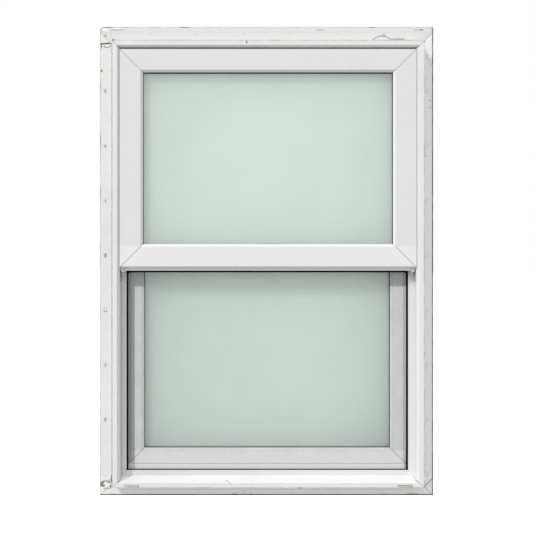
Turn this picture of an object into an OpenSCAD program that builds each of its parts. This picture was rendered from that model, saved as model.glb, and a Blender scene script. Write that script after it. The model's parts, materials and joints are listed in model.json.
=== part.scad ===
// Vinyl single-hung sash window with a nailing fin: a mitred hollow frame, a fixed upper
// sash, a sliding lower sash on two spiral balances, and a cam lock at the meeting rail.
// X runs to the right as seen from outside, Y into the wall, Z up. Y = 0 is the back
// face of the nailing fin, and the origin is the centre of the frame.

/* [Overall size] */
// Width of the frame inside the rough opening, without the fins
net_w = 698.5; // [560:0.5:900]
// Height of the frame inside the rough opening, without the fins
net_h = 1000; // [820:0.5:1400]
// How far the frame stands in front of the back of the fin
front_reach = 35; // [33:0.5:45]
// How far the frame reaches behind the back of the fin
back_reach = 47.5; // [47:0.5:70]

/* [Nailing fin] */
// Thickness of the fin
fin_t = 2.2; // [1.5:0.1:3]
// Width of the fin beyond the left jamb
left_fin = 31.3; // [28:0.1:40]
// Width of the fin beyond the right jamb
right_fin = 27.9; // [22:0.1:40]
// Width of the fin beyond the sill
sill_fin = 26.6; // [24:0.1:40]
// Width of the fin beyond the head, up to its fold line
head_fin = 26.6; // [24:0.1:40]
// Width of the strip beyond the fold line of the head fin
head_strip = 11.7; // [8:0.1:20]
// Diameter of a nail hole in the head and sill fins
nail_d = 8; // [4:0.1:9]
// Distance of the head and sill nail holes from the frame
nail_out = 19.4; // [12:0.1:19.4]
// Length of a nail slot in a jamb fin
slot_len = 11.5; // [9:0.5:16]

/* [Frame section] */
// Width of the flat lip at the front of the frame
lip_w = 10.8; // [9:0.1:12]
// Thickness of the walls of the hollow sections
wall_t = 2; // [1.6:0.1:2.4]
// Thickness of the leg between the two sash tracks
parting_t = 3; // [2:0.1:3]
// Reach of the parting leg from the side of the frame
leg_reach = 29; // [27:0.5:31]
// Height of the leg on the room side of the sill
sill_leg_h = 42; // [36:1:50]

/* [Sashes] */
// Width of the stiles and of the plain rails
stile_w = 51.9; // [46:0.1:60]
// Height of the bottom rail of the lower sash
bottom_rail_h = 60; // [54:0.5:75]
// Width of the bevel beside the glass
bevel_w = 4.5; // [2:0.1:6]
// Thickness of each pane
pane_t = 3; // [2:0.1:4]
// Distance from the face of the outer pane to the back of the inner one
unit_t = 16; // [14:0.5:16]

/* [Balances and lock] */
// Outer diameter of a balance tube
tube_d = 9.5; // [9:0.1:10]
// Bore of a balance tube
tube_bore = 7; // [6.6:0.1:7.4]
// Width of the twisted rod
rod_w = 4.5; // [3.5:0.1:4.8]
// Length of one turn of the twisted rod
rod_pitch = 40; // [35:1:60]
// Reach of the cam from its pivot
cam_r = 22; // [21:0.1:23]

/* [Hidden] */
$fn = 48;

white_vinyl = "#e8eae4";
dull_vinyl = "#c9ccc8";
green_glass = "#c6d6cc";
black_rubber = "#161716";
grey_pile = "#6b6e70";
bright_metal = "#b9bcbe";
white_paint = "#dfe1dc";

half_w = net_w / 2;
half_h = net_h / 2;
front_y = -front_reach;
back_y = back_reach;
past = 1;                        // how far a cutting body runs past what it cuts

// Frame section, as distances inward from the side of the frame
side_wall_u = 16.4;              // inner wall of the jambs
head_wall_u = 13.8;              // inner wall of the head
chamfer_y = -28.5;               // back end of the chamfer beside their lips
head_lip_less = 1.6;             // how much narrower the lip of the head is
sill_lip_less = 0.6;             // the same at the sill
sill_slope_u = 18.35;            // foot of the sloping wall of the sill
track_u = 15.5;                  // floor of the room-side track
sill_track_u = 14.35;            // the same at the sill
sill_part_u = 31.15;             // top of the parting leg of the sill
tip_w = 2.2;                     // tip of the parting leg, set off by a groove
tip_groove = 0.8;
parting_y = -1;                  // front face of the parting leg
parting_back = parting_y + parting_t;
room_leg_y = 37;                 // front face of the leg on the room side
web_y = 25;                      // middle web of the hollow section
mitre_in = 60;                   // depth of the mitre cuts, more than any section

// Upper sash
sash_u = 16.9;                   // gap line between frame and sash, from the side
sash_half = half_w - sash_u;
upper_front = -33;
upper_back = parting_y;
upper_high = half_h - 18;
upper_low = -14.9;
meeting_rail_h = 59.3;
flange_t = 4;                    // front flange that covers the gap
flange_w = 2.6;
drip_h = 5.2;                    // recessed lip under the meeting rail
drip_y = -22;
drip_round = 6.5;

// Lower sash
lower_front = 3.5;
lower_back = 35;
lower_high = 36;
lower_low = -half_h + 20;
strip_w = 21.1;                  // set-back strip along the edge of the sash
strip_step = 1.5;

// Glazing, as distances from the glass side of a rail
pocket_in = 14.9;                // depth of the glazing pocket
edge_gap = 3;                    // room between glass edge and pocket
seal_t = 0.8;
leg_t = 4.2;                     // leg in front of the glass
seal_show = 1.5;                 // width of seal in sight beside the bevel
top_seal_show = 3;               // the same under the top rail of the upper sash
bead_joint = 0.8;                // groove between the face and the bevel
spacer_in = 2;
spacer_w = 9;
bead_nose = 2;
bead_top_w = 8;
glass_half = sash_half - stile_w + pocket_in - edge_gap;
open_half = sash_half - stile_w;
upper_glass_y = upper_front + leg_t + seal_t;
lower_glass_y = lower_front + leg_t + seal_t;
upper_glass_high = upper_high - stile_w + pocket_in - edge_gap;
upper_open_low = upper_low + meeting_rail_h;
keeper_ledge = lower_high;
meeting_bead_h = 12;
upper_pocket_low = keeper_ledge - meeting_bead_h;
upper_glass_low = upper_pocket_low + edge_gap;
lower_glass_high = lower_high - stile_w + pocket_in - edge_gap;
lower_open_low = lower_low + bottom_rail_h;
lower_glass_low = lower_open_low - pocket_in + edge_gap;
block_len = 40;
block_at = glass_half / 2;

// Seals
gasket_w = 3.6;
gasket_top_h = 4.7;
gasket_foot_h = 0.9;             // thin run of the gasket along the sill
gasket_back = 4.6;
gasket_round = 5;
pile_gap = 0.4;
bulb_r = 2.6;
bulb_wall = 0.9;

// Weep slots
weep_x = half_w - 43.25;
weep_z = -half_h + 4.2;
weep_w = 32;
weep_h = 4;
weep_fit = 0.3;

// Outer edges of the fins; their mitres run at 45 degrees from the outer corners
left_edge = -half_w - left_fin;
right_edge = half_w + right_fin;
fold_z = half_h + head_fin;
strip_top = fold_z + head_strip;
fin_foot = -half_h - sill_fin;
corner_r = 9;                    // round corner at the top left
small_corner_r = 3;
crack_depth = 1.5;

// Nail holes
head_pitch = 0.15175 * net_w;
jamb_pitch = 0.1243 * net_h;
jamb_first = 0.0189 * net_h;
left_slot_x = left_edge + 12.5;
right_slot_x = right_edge - 14.5;
nail_z = half_h + nail_out;

// Balances
balance_x = half_w - 23;
balance_y = 19;
groove_u = 29;
groove_half = 6.4;
tube_low = 15;
sash_travel = upper_high - 112;  // how far the lower sash rises
bushing_flange = 3;
bushing_h = 8;
rod_t = 1.2;
rod_fit = 0.35;
rod_low = lower_low + 6;
rod_high = 45;
tube_high = rod_high + sash_travel + 60;
screw_z = tube_high - 10;
screw_d = 4;
screw_fit = 0.2;
foot_h = 14;

// Lock
pivot_y = 15;
base_t = 3;
cam_t = 4;
turn_gap = 0.4;
pin_d = 8;
pin_fit = 0.08;                  // clearance all round the pin
lock_half = 34;
lock_screw_x = 27.5;
cam_z = keeper_ledge + base_t + turn_gap;
handle_z = cam_z + cam_t;
handle_t = 5.6;
handle_len = 31;
pin_head_t = 2.2;
cam_spread = 30;
keeper_y = -11.5;
keeper_t = 2.4;
keeper_mouth = 8.6;
keeper_screw_x = 29;

// ---- placing helpers -------------------------------------------------------------

// Runs a section (inward, depth) up the left side of a rectangle.
module left_run(half, low, high) {
    translate([-half, 0, low]) linear_extrude(height = high - low) children();
}

// Runs a section along the bottom of a rectangle.
module bottom_run(half, low) {
    translate([half, 0, low]) rotate([0, -90, 0]) linear_extrude(height = 2 * half) children();
}

// Runs a section along the top of a rectangle.
module top_run(half, high) {
    mirror([0, 0, 1]) bottom_run(half, -high) children();
}

// An outline in the plane of the window, run from one depth to another.
module plate(y0, y1) {
    translate([0, y1, 0]) rotate([90, 0, 0]) linear_extrude(height = y1 - y0) children();
}

module box(x0, x1, y0, y1, z0, z1) {
    translate([x0, y0, z0]) cube([x1 - x0, y1 - y0, z1 - z0]);
}

module both_sides() {
    children();
    mirror([1, 0, 0]) children();
}

// Cylinder along the depth of the window.
module bore_y(x, z, d) {
    translate([x, front_y - past, z]) rotate([-90, 0, 0])
        cylinder(d = d, h = front_reach + back_reach + 2 * past);
}

// ---- frame -----------------------------------------------------------------------

// Hollow section of jambs and head, from the width of its front lip and its inner wall.
module side_section(lip, wall) {
    difference() {
        polygon([
            [0, front_y], [lip, front_y], [wall, chamfer_y],
            [wall, parting_y], [leg_reach - tip_w - tip_groove, parting_y],
            [leg_reach - tip_w - tip_groove, parting_y + tip_groove],
            [leg_reach - tip_w, parting_y + tip_groove], [leg_reach - tip_w, parting_y],
            [leg_reach - 0.6, parting_y], [leg_reach, parting_y + 0.6],
            [leg_reach, parting_back], [track_u, parting_back], [track_u, room_leg_y],
            [leg_reach, room_leg_y], [leg_reach, back_y - 1.5], [leg_reach - 1.5, back_y],
            [0, back_y]
        ]);
        polygon([
            [wall_t, front_y + wall_t], [lip - 1.2, front_y + wall_t],
            [wall - wall_t, chamfer_y + 0.8],
            [wall - wall_t, parting_y - wall_t - 1], [wall_t, parting_y - wall_t - 1]
        ]);
        polygon([
            [wall_t, parting_y - 1], [track_u - wall_t, parting_y - 1],
            [track_u - wall_t, web_y - wall_t / 2], [wall_t, web_y - wall_t / 2]
        ]);
        polygon([
            [wall_t, web_y + wall_t / 2], [track_u - wall_t, web_y + wall_t / 2],
            [track_u - wall_t, room_leg_y - 0.6], [wall_t, room_leg_y - 0.6]
        ]);
        polygon([
            [wall_t, room_leg_y + wall_t], [leg_reach - wall_t, room_leg_y + wall_t],
            [leg_reach - wall_t, back_y - wall_t], [wall_t, back_y - wall_t]
        ]);
    }
}

module sill_section(lip) {
    difference() {
        polygon([
            [0, front_y], [lip, front_y], [sill_slope_u, parting_y],
            [sill_part_u - 0.8, parting_y], [sill_part_u, parting_y + 0.8],
            [sill_part_u, parting_back], [sill_track_u, parting_back],
            [sill_track_u, room_leg_y], [sill_leg_h, room_leg_y],
            [sill_leg_h, back_y - 1.5], [sill_leg_h - 1.5, back_y], [0, back_y]
        ]);
        polygon([
            [wall_t, front_y + wall_t], [lip - 1.6, front_y + wall_t],
            [sill_slope_u - 3.2, parting_y - wall_t - 1], [wall_t, parting_y - wall_t - 1]
        ]);
        polygon([
            [wall_t, parting_y - 1], [sill_track_u - wall_t, parting_y - 1],
            [sill_track_u - wall_t, web_y - wall_t / 2], [wall_t, web_y - wall_t / 2]
        ]);
        polygon([
            [wall_t, web_y + wall_t / 2], [sill_track_u - wall_t, web_y + wall_t / 2],
            [sill_track_u - wall_t, room_leg_y - 0.6], [wall_t, room_leg_y - 0.6]
        ]);
        polygon([
            [wall_t, room_leg_y + wall_t], [sill_leg_h - wall_t, room_leg_y + wall_t],
            [sill_leg_h - wall_t, back_y - wall_t], [wall_t, back_y - wall_t]
        ]);
    }
}

function arc(cx, cz, r, a0, a1) = [for (i = [0:6]) let (a = a0 + (a1 - a0) * i / 6)
    [cx + r * cos(a), cz + r * sin(a)]];

// Part of the window plane that belongs to the head of the frame.
module head_area() {
    polygon([
        [half_w - mitre_in, half_h - mitre_in], [half_w, half_h],
        [-half_w, half_h], [-half_w + mitre_in, half_h - mitre_in]
    ]);
}

module jamb_area() {
    polygon([
        [-half_w, half_h], [-half_w + mitre_in, half_h - mitre_in],
        [-half_w + mitre_in, -half_h + mitre_in], [-half_w, -half_h]
    ]);
}

module head_fin_plate() {
    plate(-fin_t, 0) polygon(concat(
        [[half_w, half_h], [half_w, fold_z - right_fin], [right_edge, fold_z]],
        arc(right_edge - small_corner_r, strip_top - small_corner_r, small_corner_r, 0, 90),
        arc(left_edge + corner_r, strip_top - corner_r, corner_r, 90, 180),
        [[left_edge, fold_z], [-half_w, fold_z - left_fin], [-half_w, half_h]]
    ));
}

module sill_fin_plate() {
    plate(-fin_t, 0) polygon([
        [-half_w, -half_h], [-half_w, fin_foot + left_fin], [left_edge, fin_foot],
        [right_edge, fin_foot], [half_w, fin_foot + right_fin], [half_w, -half_h]
    ]);
}

// Fin of one jamb, from its outer edge to the side of the frame.
module jamb_fin_plate(edge, side_x, fin) {
    plate(-fin_t, 0) polygon([
        [edge, fold_z], [side_x, fold_z - fin], [side_x, fin_foot + fin], [edge, fin_foot]
    ]);
}

module end_nail_holes(z) {
    for (i = [-2.5:1:2.5]) bore_y(i * head_pitch, z, nail_d);
}

// Oblong nail slots of a jamb fin.
module jamb_nail_slots(x) {
    for (i = [-4:3]) {
        z = jamb_first + i * jamb_pitch;
        plate(-fin_t - past, past) translate([x, z]) {
            translate([0, (slot_len - nail_d) / 2]) circle(d = nail_d);
            translate([0, -(slot_len - nail_d) / 2]) circle(d = nail_d);
            square([nail_d, slot_len - nail_d], center = true);
        }
    }
}

// Cracks in the face of the left fin, at its top and at its foot.
module fin_cracks() {
    plate(-fin_t - past, -fin_t + crack_depth) {
        translate([left_edge, half_h]) {
            polygon([
                [-1, 0.8], [8, 1], [16, 1.6], [25, 0.4], [26.5, -0.9],
                [14, -0.9], [8, -1.6], [3, -2.2], [-1, -1.4]
            ]);
            polygon([
                [8.5, -4.8], [12.5, -8.6], [16.5, -9.6], [22.4, -8], [26.4, -4.2],
                [25.6, -3.6], [21.8, -7], [16.6, -8.4], [13.4, -7.6], [9.6, -4]
            ]);
        }
        translate([left_edge, -half_h]) polygon([
            [-1, -2.5], [1, 1.6], [5, 5.2], [10, 7.4], [16, 6.6], [21, 4.2], [24.2, 1.2],
            [23.2, 0.2], [20, 2.6], [15.6, 4.8], [10, 5.4], [6.4, 3.4], [4.4, 0.6],
            [7.2, -3], [6.2, -6.5], [2, -7.5], [-1, -6.5]
        ]);
    }
}

module frame_head() {
    color(white_vinyl) difference() {
        union() {
            intersection() {
                top_run(half_w, half_h) side_section(lip_w - head_lip_less, head_wall_u);
                plate(front_y, back_y) head_area();
            }
            head_fin_plate();
        }
        end_nail_holes(nail_z);
    }
}

module frame_sill() {
    color(white_vinyl) difference() {
        union() {
            intersection() {
                bottom_run(half_w, -half_h) sill_section(lip_w - sill_lip_less);
                plate(front_y, back_y) mirror([0, 1]) head_area();
            }
            sill_fin_plate();
        }
        end_nail_holes(-nail_z);
        both_sides() box(weep_x - weep_w / 2, weep_x + weep_w / 2, front_y - past,
            front_y + wall_t + past, weep_z - weep_h / 2, weep_z + weep_h / 2);
    }
}

// Left jamb without its fin.
module jamb_body() {
    difference() {
        intersection() {
            left_run(half_w, -half_h, half_h) side_section(lip_w, side_wall_u);
            plate(front_y, back_y) jamb_area();
        }
        translate([-half_w + wall_t + past, balance_y, screw_z]) rotate([0, 90, 0])
            cylinder(d = screw_d + screw_fit, h = track_u);
    }
}

module frame_jamb_left() {
    color(white_vinyl) difference() {
        union() {
            jamb_body();
            jamb_fin_plate(left_edge, -half_w, left_fin);
        }
        jamb_nail_slots(left_slot_x);
        fin_cracks();
    }
}

module frame_jamb_right() {
    color(white_vinyl) difference() {
        union() {
            mirror([1, 0, 0]) jamb_body();
            jamb_fin_plate(right_edge, half_w, right_fin);
        }
        jamb_nail_slots(right_slot_x);
    }
}

// Cover pressed into a weep slot, with a flange inside the wall.
module weep_cover() {
    color(white_vinyl) {
        box(weep_x - weep_w / 2 + weep_fit, weep_x + weep_w / 2 - weep_fit, front_y + 0.4,
            front_y + wall_t + 1.2, weep_z - weep_h / 2 + weep_fit,
            weep_z + weep_h / 2 - weep_fit);
        box(weep_x - weep_w / 2 - 1, weep_x + weep_w / 2 + 1, front_y + wall_t,
            front_y + wall_t + 1.2, weep_z - weep_h / 2 + weep_fit,
            weep_z + weep_h / 2 + 1);
    }
}

module weep_cover_right() {
    weep_cover();
}

module weep_cover_left() {
    mirror([1, 0, 0]) weep_cover();
}

// Black gasket round the lower opening, an upturned U with round corners.
module opening_seal() {
    out_x = half_w - leg_reach;
    top_z = upper_low;
    foot_z = -half_h + sill_part_u;
    in_x = out_x - gasket_w;
    in_z = top_z - gasket_top_h;
    round_x = in_x - gasket_round;
    round_z = in_z - gasket_round;
    color(black_rubber) {
        both_sides() box(in_x, out_x, parting_y, gasket_back, foot_z, round_z);
        box(-in_x, in_x, parting_y, gasket_back, foot_z, foot_z + gasket_foot_h);
        plate(parting_y, lower_front - pile_gap) polygon(concat(
            [[out_x, round_z], [out_x, top_z], [-out_x, top_z], [-out_x, round_z]],
            arc(-round_x, round_z, gasket_round, 180, 90),
            arc(round_x, round_z, gasket_round, 90, 0)));
    }
}

// Clip on the parting leg that carries the upper sash.
module sash_clip() {
    clip_x = half_w - 28;
    color(white_vinyl) {
        box(clip_x, clip_x + 9, drip_y + 8, parting_y, upper_low - 12, upper_low);
        box(clip_x, clip_x + 9, drip_y - 2.4, drip_y + 8, upper_low - 3, upper_low);
        box(clip_x, clip_x + 9, drip_y - 2.4, drip_y, upper_low, upper_low + 4.6);
    }
}

module sash_clip_right() {
    sash_clip();
}

module sash_clip_left() {
    mirror([1, 0, 0]) sash_clip();
}

// ---- upper sash ------------------------------------------------------------------

// Plain rail or stile, as (inward, depth) from its outer edge.
module upper_section() {
    floor_v = stile_w - pocket_in;
    mid_y = (upper_front + upper_back) / 2;
    difference() {
        polygon([
            [0, upper_front], [stile_w - bevel_w - bead_joint, upper_front],
            [stile_w - bevel_w - bead_joint, upper_front + bead_joint],
            [stile_w - bevel_w, upper_front + bead_joint],
            [stile_w, upper_front + leg_t - 1], [stile_w, upper_front + leg_t],
            [floor_v, upper_front + leg_t], [floor_v, upper_back],
            [flange_w, upper_back], [flange_w, upper_front + flange_t],
            [0, upper_front + flange_t]
        ]);
        polygon([
            [flange_w + wall_t, upper_front + wall_t], [floor_v - wall_t, upper_front + wall_t],
            [floor_v - wall_t, mid_y - 1], [flange_w + wall_t, mid_y - 1]
        ]);
        polygon([
            [flange_w + wall_t, mid_y + 1], [floor_v - wall_t, mid_y + 1],
            [floor_v - wall_t, upper_back - wall_t], [flange_w + wall_t, upper_back - wall_t]
        ]);
    }
}

// Meeting rail of the upper sash, with a round nose over a recessed drip lip.
module meeting_section() {
    floor_v = upper_pocket_low - upper_low;
    nose_v = drip_h + drip_round;
    nose_depth = drip_y - upper_front;
    mid_y = -15;
    difference() {
        polygon(concat(
            [[0, drip_y], [drip_h, drip_y]],
            [for (a = [180:-15:90]) [nose_v + drip_round * cos(a),
                upper_front + nose_depth * (1 - sin(a))]],
            [[meeting_rail_h - bevel_w - bead_joint, upper_front],
             [meeting_rail_h - bevel_w - bead_joint, upper_front + bead_joint],
             [meeting_rail_h - bevel_w, upper_front + bead_joint],
             [meeting_rail_h, upper_front + leg_t - 1],
             [meeting_rail_h, upper_front + leg_t], [floor_v, upper_front + leg_t],
             [floor_v, upper_back], [0, upper_back]]
        ));
        polygon([
            [drip_h + wall_t, drip_y - 4], [nose_v, upper_front + wall_t],
            [floor_v - wall_t, upper_front + wall_t], [floor_v - wall_t, mid_y - 1],
            [drip_h + wall_t, mid_y - 1]
        ]);
        polygon([
            [wall_t, mid_y + 1], [floor_v - wall_t, mid_y + 1],
            [floor_v - wall_t, upper_back - wall_t], [wall_t, upper_back - wall_t]
        ]);
    }
}

// Areas of a sash in the window plane, cut at 45 degrees from the corners of the glass.
module stile_area(open_low, open_high) {
    polygon([
        [-sash_half, open_high + stile_w], [-open_half, open_high],
        [-open_half, open_low], [-sash_half, open_low - stile_w]
    ]);
}

module top_area(high) {
    polygon([
        [-sash_half, high], [sash_half, high],
        [open_half, high - stile_w], [-open_half, high - stile_w]
    ]);
}

module bottom_area(low, open_low) {
    polygon([
        [-sash_half, open_low - stile_w], [-sash_half, low], [sash_half, low],
        [sash_half, open_low - stile_w], [open_half, open_low], [-open_half, open_low]
    ]);
}

module upper_top_rail() {
    color(white_vinyl) intersection() {
        top_run(sash_half, upper_high) upper_section();
        plate(upper_front, upper_back) top_area(upper_high);
    }
}

module upper_stile() {
    intersection() {
        left_run(sash_half, upper_low, upper_high) upper_section();
        plate(upper_front, upper_back)
            stile_area(upper_open_low, upper_high - stile_w);
    }
}

module upper_stile_left() {
    color(white_vinyl) upper_stile();
}

module upper_stile_right() {
    color(white_vinyl) mirror([1, 0, 0]) upper_stile();
}

module upper_bottom_rail() {
    color(white_vinyl) difference() {
        intersection() {
            bottom_run(sash_half, upper_low) meeting_section();
            plate(upper_front, upper_back) bottom_area(upper_low, upper_open_low);
        }
        both_sides() translate([keeper_screw_x, -6.5, upper_pocket_low - wall_t - past])
            cylinder(d = screw_d - 0.4 + screw_fit, h = wall_t + 2 * past);
    }
}

// Pane of the given height band at one depth.
module pane(y0, low, high) {
    box(-glass_half, glass_half, y0, y0 + pane_t, low, high);
}

// Rectangular ring round the glass at one depth.
module ring(y0, y1, half_out, low_out, high_out, width) {
    difference() {
        box(-half_out, half_out, y0, y1, low_out, high_out);
        box(-half_out + width, half_out - width, y0 - past, y1 + past,
            low_out + width, high_out - width);
    }
}

module spacer(glass_y, low, high) {
    ring(glass_y + pane_t, glass_y + unit_t - pane_t, glass_half - spacer_in,
        low + spacer_in, high - spacer_in, spacer_w);
}

// Seal between the front leg and the glass; a thin line of it shows inside the bevel.
module glazing_seal(glass_y, low, high, seen_low, seen_high) {
    difference() {
        box(-glass_half + 1, glass_half - 1, glass_y - seal_t, glass_y, low + 1, high - 1);
        box(-open_half + seal_show, open_half - seal_show, glass_y - seal_t - past,
            glass_y + past, seen_low, seen_high);
    }
}

// Blocks that carry the glass in the bottom of its pocket.
module setting_blocks(glass_y, low) {
    both_sides() box(block_at - block_len / 2, block_at + block_len / 2, glass_y + 0.5,
        glass_y + unit_t - 0.5, low - edge_gap, low);
}

// Glazing bead as (inward, depth) from the pocket floor: hollow, with a bevelled front.
module bead_section(back, glass_back) {
    difference() {
        polygon([
            [0, glass_back], [pocket_in, glass_back], [pocket_in, glass_back + bead_nose],
            [bead_top_w, back], [0, back]
        ]);
        polygon([
            [1.5, glass_back + 1.5], [pocket_in - 3.5, glass_back + 1.5],
            [bead_top_w - 2, back - 1.5], [1.5, back - 1.5]
        ]);
    }
}

module side_bead(back, glass_back, low_in, high_in, low_out, high_out) {
    floor_x = open_half + pocket_in;
    intersection() {
        left_run(floor_x, low_out, high_out) bead_section(back, glass_back);
        plate(glass_back, back) polygon([
            [-floor_x, low_out], [-open_half, low_in], [-open_half, high_in], [-floor_x, high_out]
        ]);
    }
}

module top_bead(back, glass_back, floor_z) {
    floor_x = open_half + pocket_in;
    intersection() {
        top_run(floor_x, floor_z) bead_section(back, glass_back);
        plate(glass_back, back) polygon([
            [-floor_x, floor_z], [floor_x, floor_z],
            [open_half, floor_z - pocket_in], [-open_half, floor_z - pocket_in]
        ]);
    }
}

module upper_outer_pane() {
    color(green_glass) pane(upper_glass_y, upper_glass_low, upper_glass_high);
}

module upper_inner_pane() {
    color(green_glass)
        pane(upper_glass_y + unit_t - pane_t, upper_glass_low, upper_glass_high);
}

module upper_spacer() {
    color(bright_metal) spacer(upper_glass_y, upper_glass_low, upper_glass_high);
}

module upper_glazing_seal() {
    color(black_rubber) glazing_seal(upper_glass_y, upper_glass_low, upper_glass_high,
        upper_open_low, upper_high - stile_w - top_seal_show);
}

module upper_setting_blocks() {
    color(black_rubber) setting_blocks(upper_glass_y, upper_glass_low);
}

upper_glass_back = upper_glass_y + unit_t;
lower_glass_back = lower_glass_y + unit_t;

module upper_bead_top() {
    color(white_vinyl)
        top_bead(upper_back, upper_glass_back, upper_high - stile_w + pocket_in);
}

// The lower ends of the side beads stand on the flat bead of the meeting rail.
module upper_side_bead() {
    side_bead(upper_back, upper_glass_back, keeper_ledge, upper_high - stile_w,
        keeper_ledge, upper_high - stile_w + pocket_in);
}

module upper_bead_left() {
    color(white_vinyl) upper_side_bead();
}

module upper_bead_right() {
    color(white_vinyl) mirror([1, 0, 0]) upper_side_bead();
}

// Flat-topped bead: the keeper of the lock is screwed down through it.
module upper_bead_bottom() {
    floor_x = open_half + pocket_in;
    color(white_vinyl) difference() {
        box(-floor_x, floor_x, upper_glass_back, upper_back, upper_pocket_low, keeper_ledge);
        box(-floor_x - past, floor_x + past, upper_glass_back + wall_t, upper_back - wall_t,
            upper_pocket_low + wall_t, keeper_ledge - wall_t);
        both_sides() translate([keeper_screw_x, -6.5, upper_pocket_low - past])
            cylinder(d = screw_d - 0.4 + screw_fit, h = meeting_bead_h + 2 * past);
    }
}

// ---- lower sash ------------------------------------------------------------------

// Rail or stile of width w; middle is where the middle chamber begins.
module lower_section(w, strip, middle) {
    floor_v = w - pocket_in;
    groove_low = balance_y - groove_half;
    groove_high = balance_y + groove_half;
    difference() {
        polygon([
            [0, lower_front + strip_step], [strip, lower_front + strip_step],
            [strip + 0.6, lower_front], [w - bevel_w - bead_joint, lower_front],
            [w - bevel_w - bead_joint, lower_front + bead_joint],
            [w - bevel_w, lower_front + bead_joint], [w, lower_front + leg_t - 1],
            [w, lower_front + leg_t], [floor_v, lower_front + leg_t], [floor_v, lower_back],
            [0, lower_back]
        ]);
        polygon([
            [wall_t, lower_front + strip_step + wall_t],
            [floor_v - wall_t, lower_front + strip_step + wall_t],
            [floor_v - wall_t, groove_low - wall_t], [wall_t, groove_low - wall_t]
        ]);
        polygon([
            [middle, groove_low], [floor_v - wall_t, groove_low],
            [floor_v - wall_t, groove_high], [middle, groove_high]
        ]);
        polygon([
            [wall_t, groove_high + wall_t], [floor_v - wall_t, groove_high + wall_t],
            [floor_v - wall_t, lower_back - wall_t], [wall_t, lower_back - wall_t]
        ]);
    }
}

// Grooves in the edges of the sash, in which the balances run.
module balance_grooves() {
    both_sides() box(half_w - groove_u, half_w, balance_y - groove_half,
        balance_y + groove_half, lower_low - past, lower_high + past);
}

module lower_stile() {
    difference() {
        intersection() {
            left_run(sash_half, lower_low, lower_high)
                lower_section(stile_w, strip_w, groove_u - sash_u + wall_t);
            plate(lower_front, lower_back)
                stile_area(lower_open_low, lower_high - stile_w);
        }
        balance_grooves();
    }
}

module lower_stile_left() {
    color(dull_vinyl) lower_stile();
}

module lower_stile_right() {
    color(dull_vinyl) mirror([1, 0, 0]) lower_stile();
}

module lower_top_rail() {
    color(dull_vinyl) difference() {
        intersection() {
            top_run(sash_half, lower_high) lower_section(stile_w, strip_w, wall_t);
            plate(lower_front, lower_back) top_area(lower_high);
        }
        balance_grooves();
        both_sides() translate([lock_screw_x, pivot_y, lower_high - wall_t - past])
            cylinder(d = screw_d + screw_fit, h = wall_t + 2 * past);
        translate([0, pivot_y, lower_high - wall_t - past])
            cylinder(d = pin_d + 2, h = wall_t + 2 * past);
    }
}

// Bottom rail, with the finger lift on the room side.
module lower_bottom_rail() {
    lift_v = bottom_rail_h - 22;
    lift_reach = 11.5;
    color(dull_vinyl) difference() {
        intersection() {
            bottom_run(sash_half, lower_low) union() {
                lower_section(bottom_rail_h, bottom_rail_h - 35.5, wall_t);
                polygon([
                    [lift_v, lower_back - 0.5], [lift_v, lower_back + lift_reach],
                    [lift_v + 5.5, lower_back + lift_reach],
                    [lift_v + 5.5, lower_back + lift_reach - 2],
                    [lift_v + 2.4, lower_back + lift_reach - 2.4],
                    [lift_v + 2.4, lower_back - 0.5]
                ]);
            }
            plate(lower_front, lower_back + lift_reach) bottom_area(lower_low, lower_open_low);
        }
        balance_grooves();
    }
}

module lower_outer_pane() {
    color(green_glass) pane(lower_glass_y, lower_glass_low, lower_glass_high);
}

module lower_inner_pane() {
    color(green_glass)
        pane(lower_glass_y + unit_t - pane_t, lower_glass_low, lower_glass_high);
}

module lower_spacer() {
    color(bright_metal) spacer(lower_glass_y, lower_glass_low, lower_glass_high);
}

module lower_glazing_seal() {
    color(black_rubber) glazing_seal(lower_glass_y, lower_glass_low, lower_glass_high,
        lower_open_low + seal_show, lower_high - stile_w - seal_show);
}

module lower_setting_blocks() {
    color(black_rubber) setting_blocks(lower_glass_y, lower_glass_low);
}

module lower_bead_top() {
    color(dull_vinyl)
        top_bead(lower_back, lower_glass_back, lower_high - stile_w + pocket_in);
}

module lower_bead_bottom() {
    color(dull_vinyl) mirror([0, 0, 1])
        top_bead(lower_back, lower_glass_back, -lower_open_low + pocket_in);
}

module lower_side_bead() {
    side_bead(lower_back, lower_glass_back, lower_open_low, lower_high - stile_w,
        lower_open_low - pocket_in, lower_high - stile_w + pocket_in);
}

module lower_bead_left() {
    color(dull_vinyl) lower_side_bead();
}

module lower_bead_right() {
    color(dull_vinyl) mirror([1, 0, 0]) lower_side_bead();
}

// Pile strip on the front of a stile, behind the parting leg.
module stile_pile() {
    box(sash_half - 9, sash_half - 4, parting_back + pile_gap, lower_front + strip_step,
        lower_low + 14, lower_high - 10);
}

module lower_pile_right() {
    color(grey_pile) stile_pile();
}

module lower_pile_left() {
    color(grey_pile) mirror([1, 0, 0]) stile_pile();
}

// Pile strip between the two meeting rails.
module meeting_rail_pile() {
    color(grey_pile) box(-sash_half + strip_w + 5, sash_half - strip_w - 5,
        upper_back + pile_gap, lower_front, 10, 15);
}

// Hollow rubber bulb under the bottom rail.
module sill_bulb_seal() {
    bulb_half = sash_half - 30;
    color(black_rubber) bottom_run(bulb_half, lower_low - 2 * bulb_r)
        translate([bulb_r, balance_y]) difference() {
            union() {
                circle(r = bulb_r);
                translate([bulb_r / 2, 0]) square([bulb_r, 2 * bulb_r], center = true);
            }
            circle(r = bulb_r - bulb_wall);
        }
}

// ---- balances --------------------------------------------------------------------

module at_balance(side) {
    translate([side * balance_x, balance_y, 0]) children();
}

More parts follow.
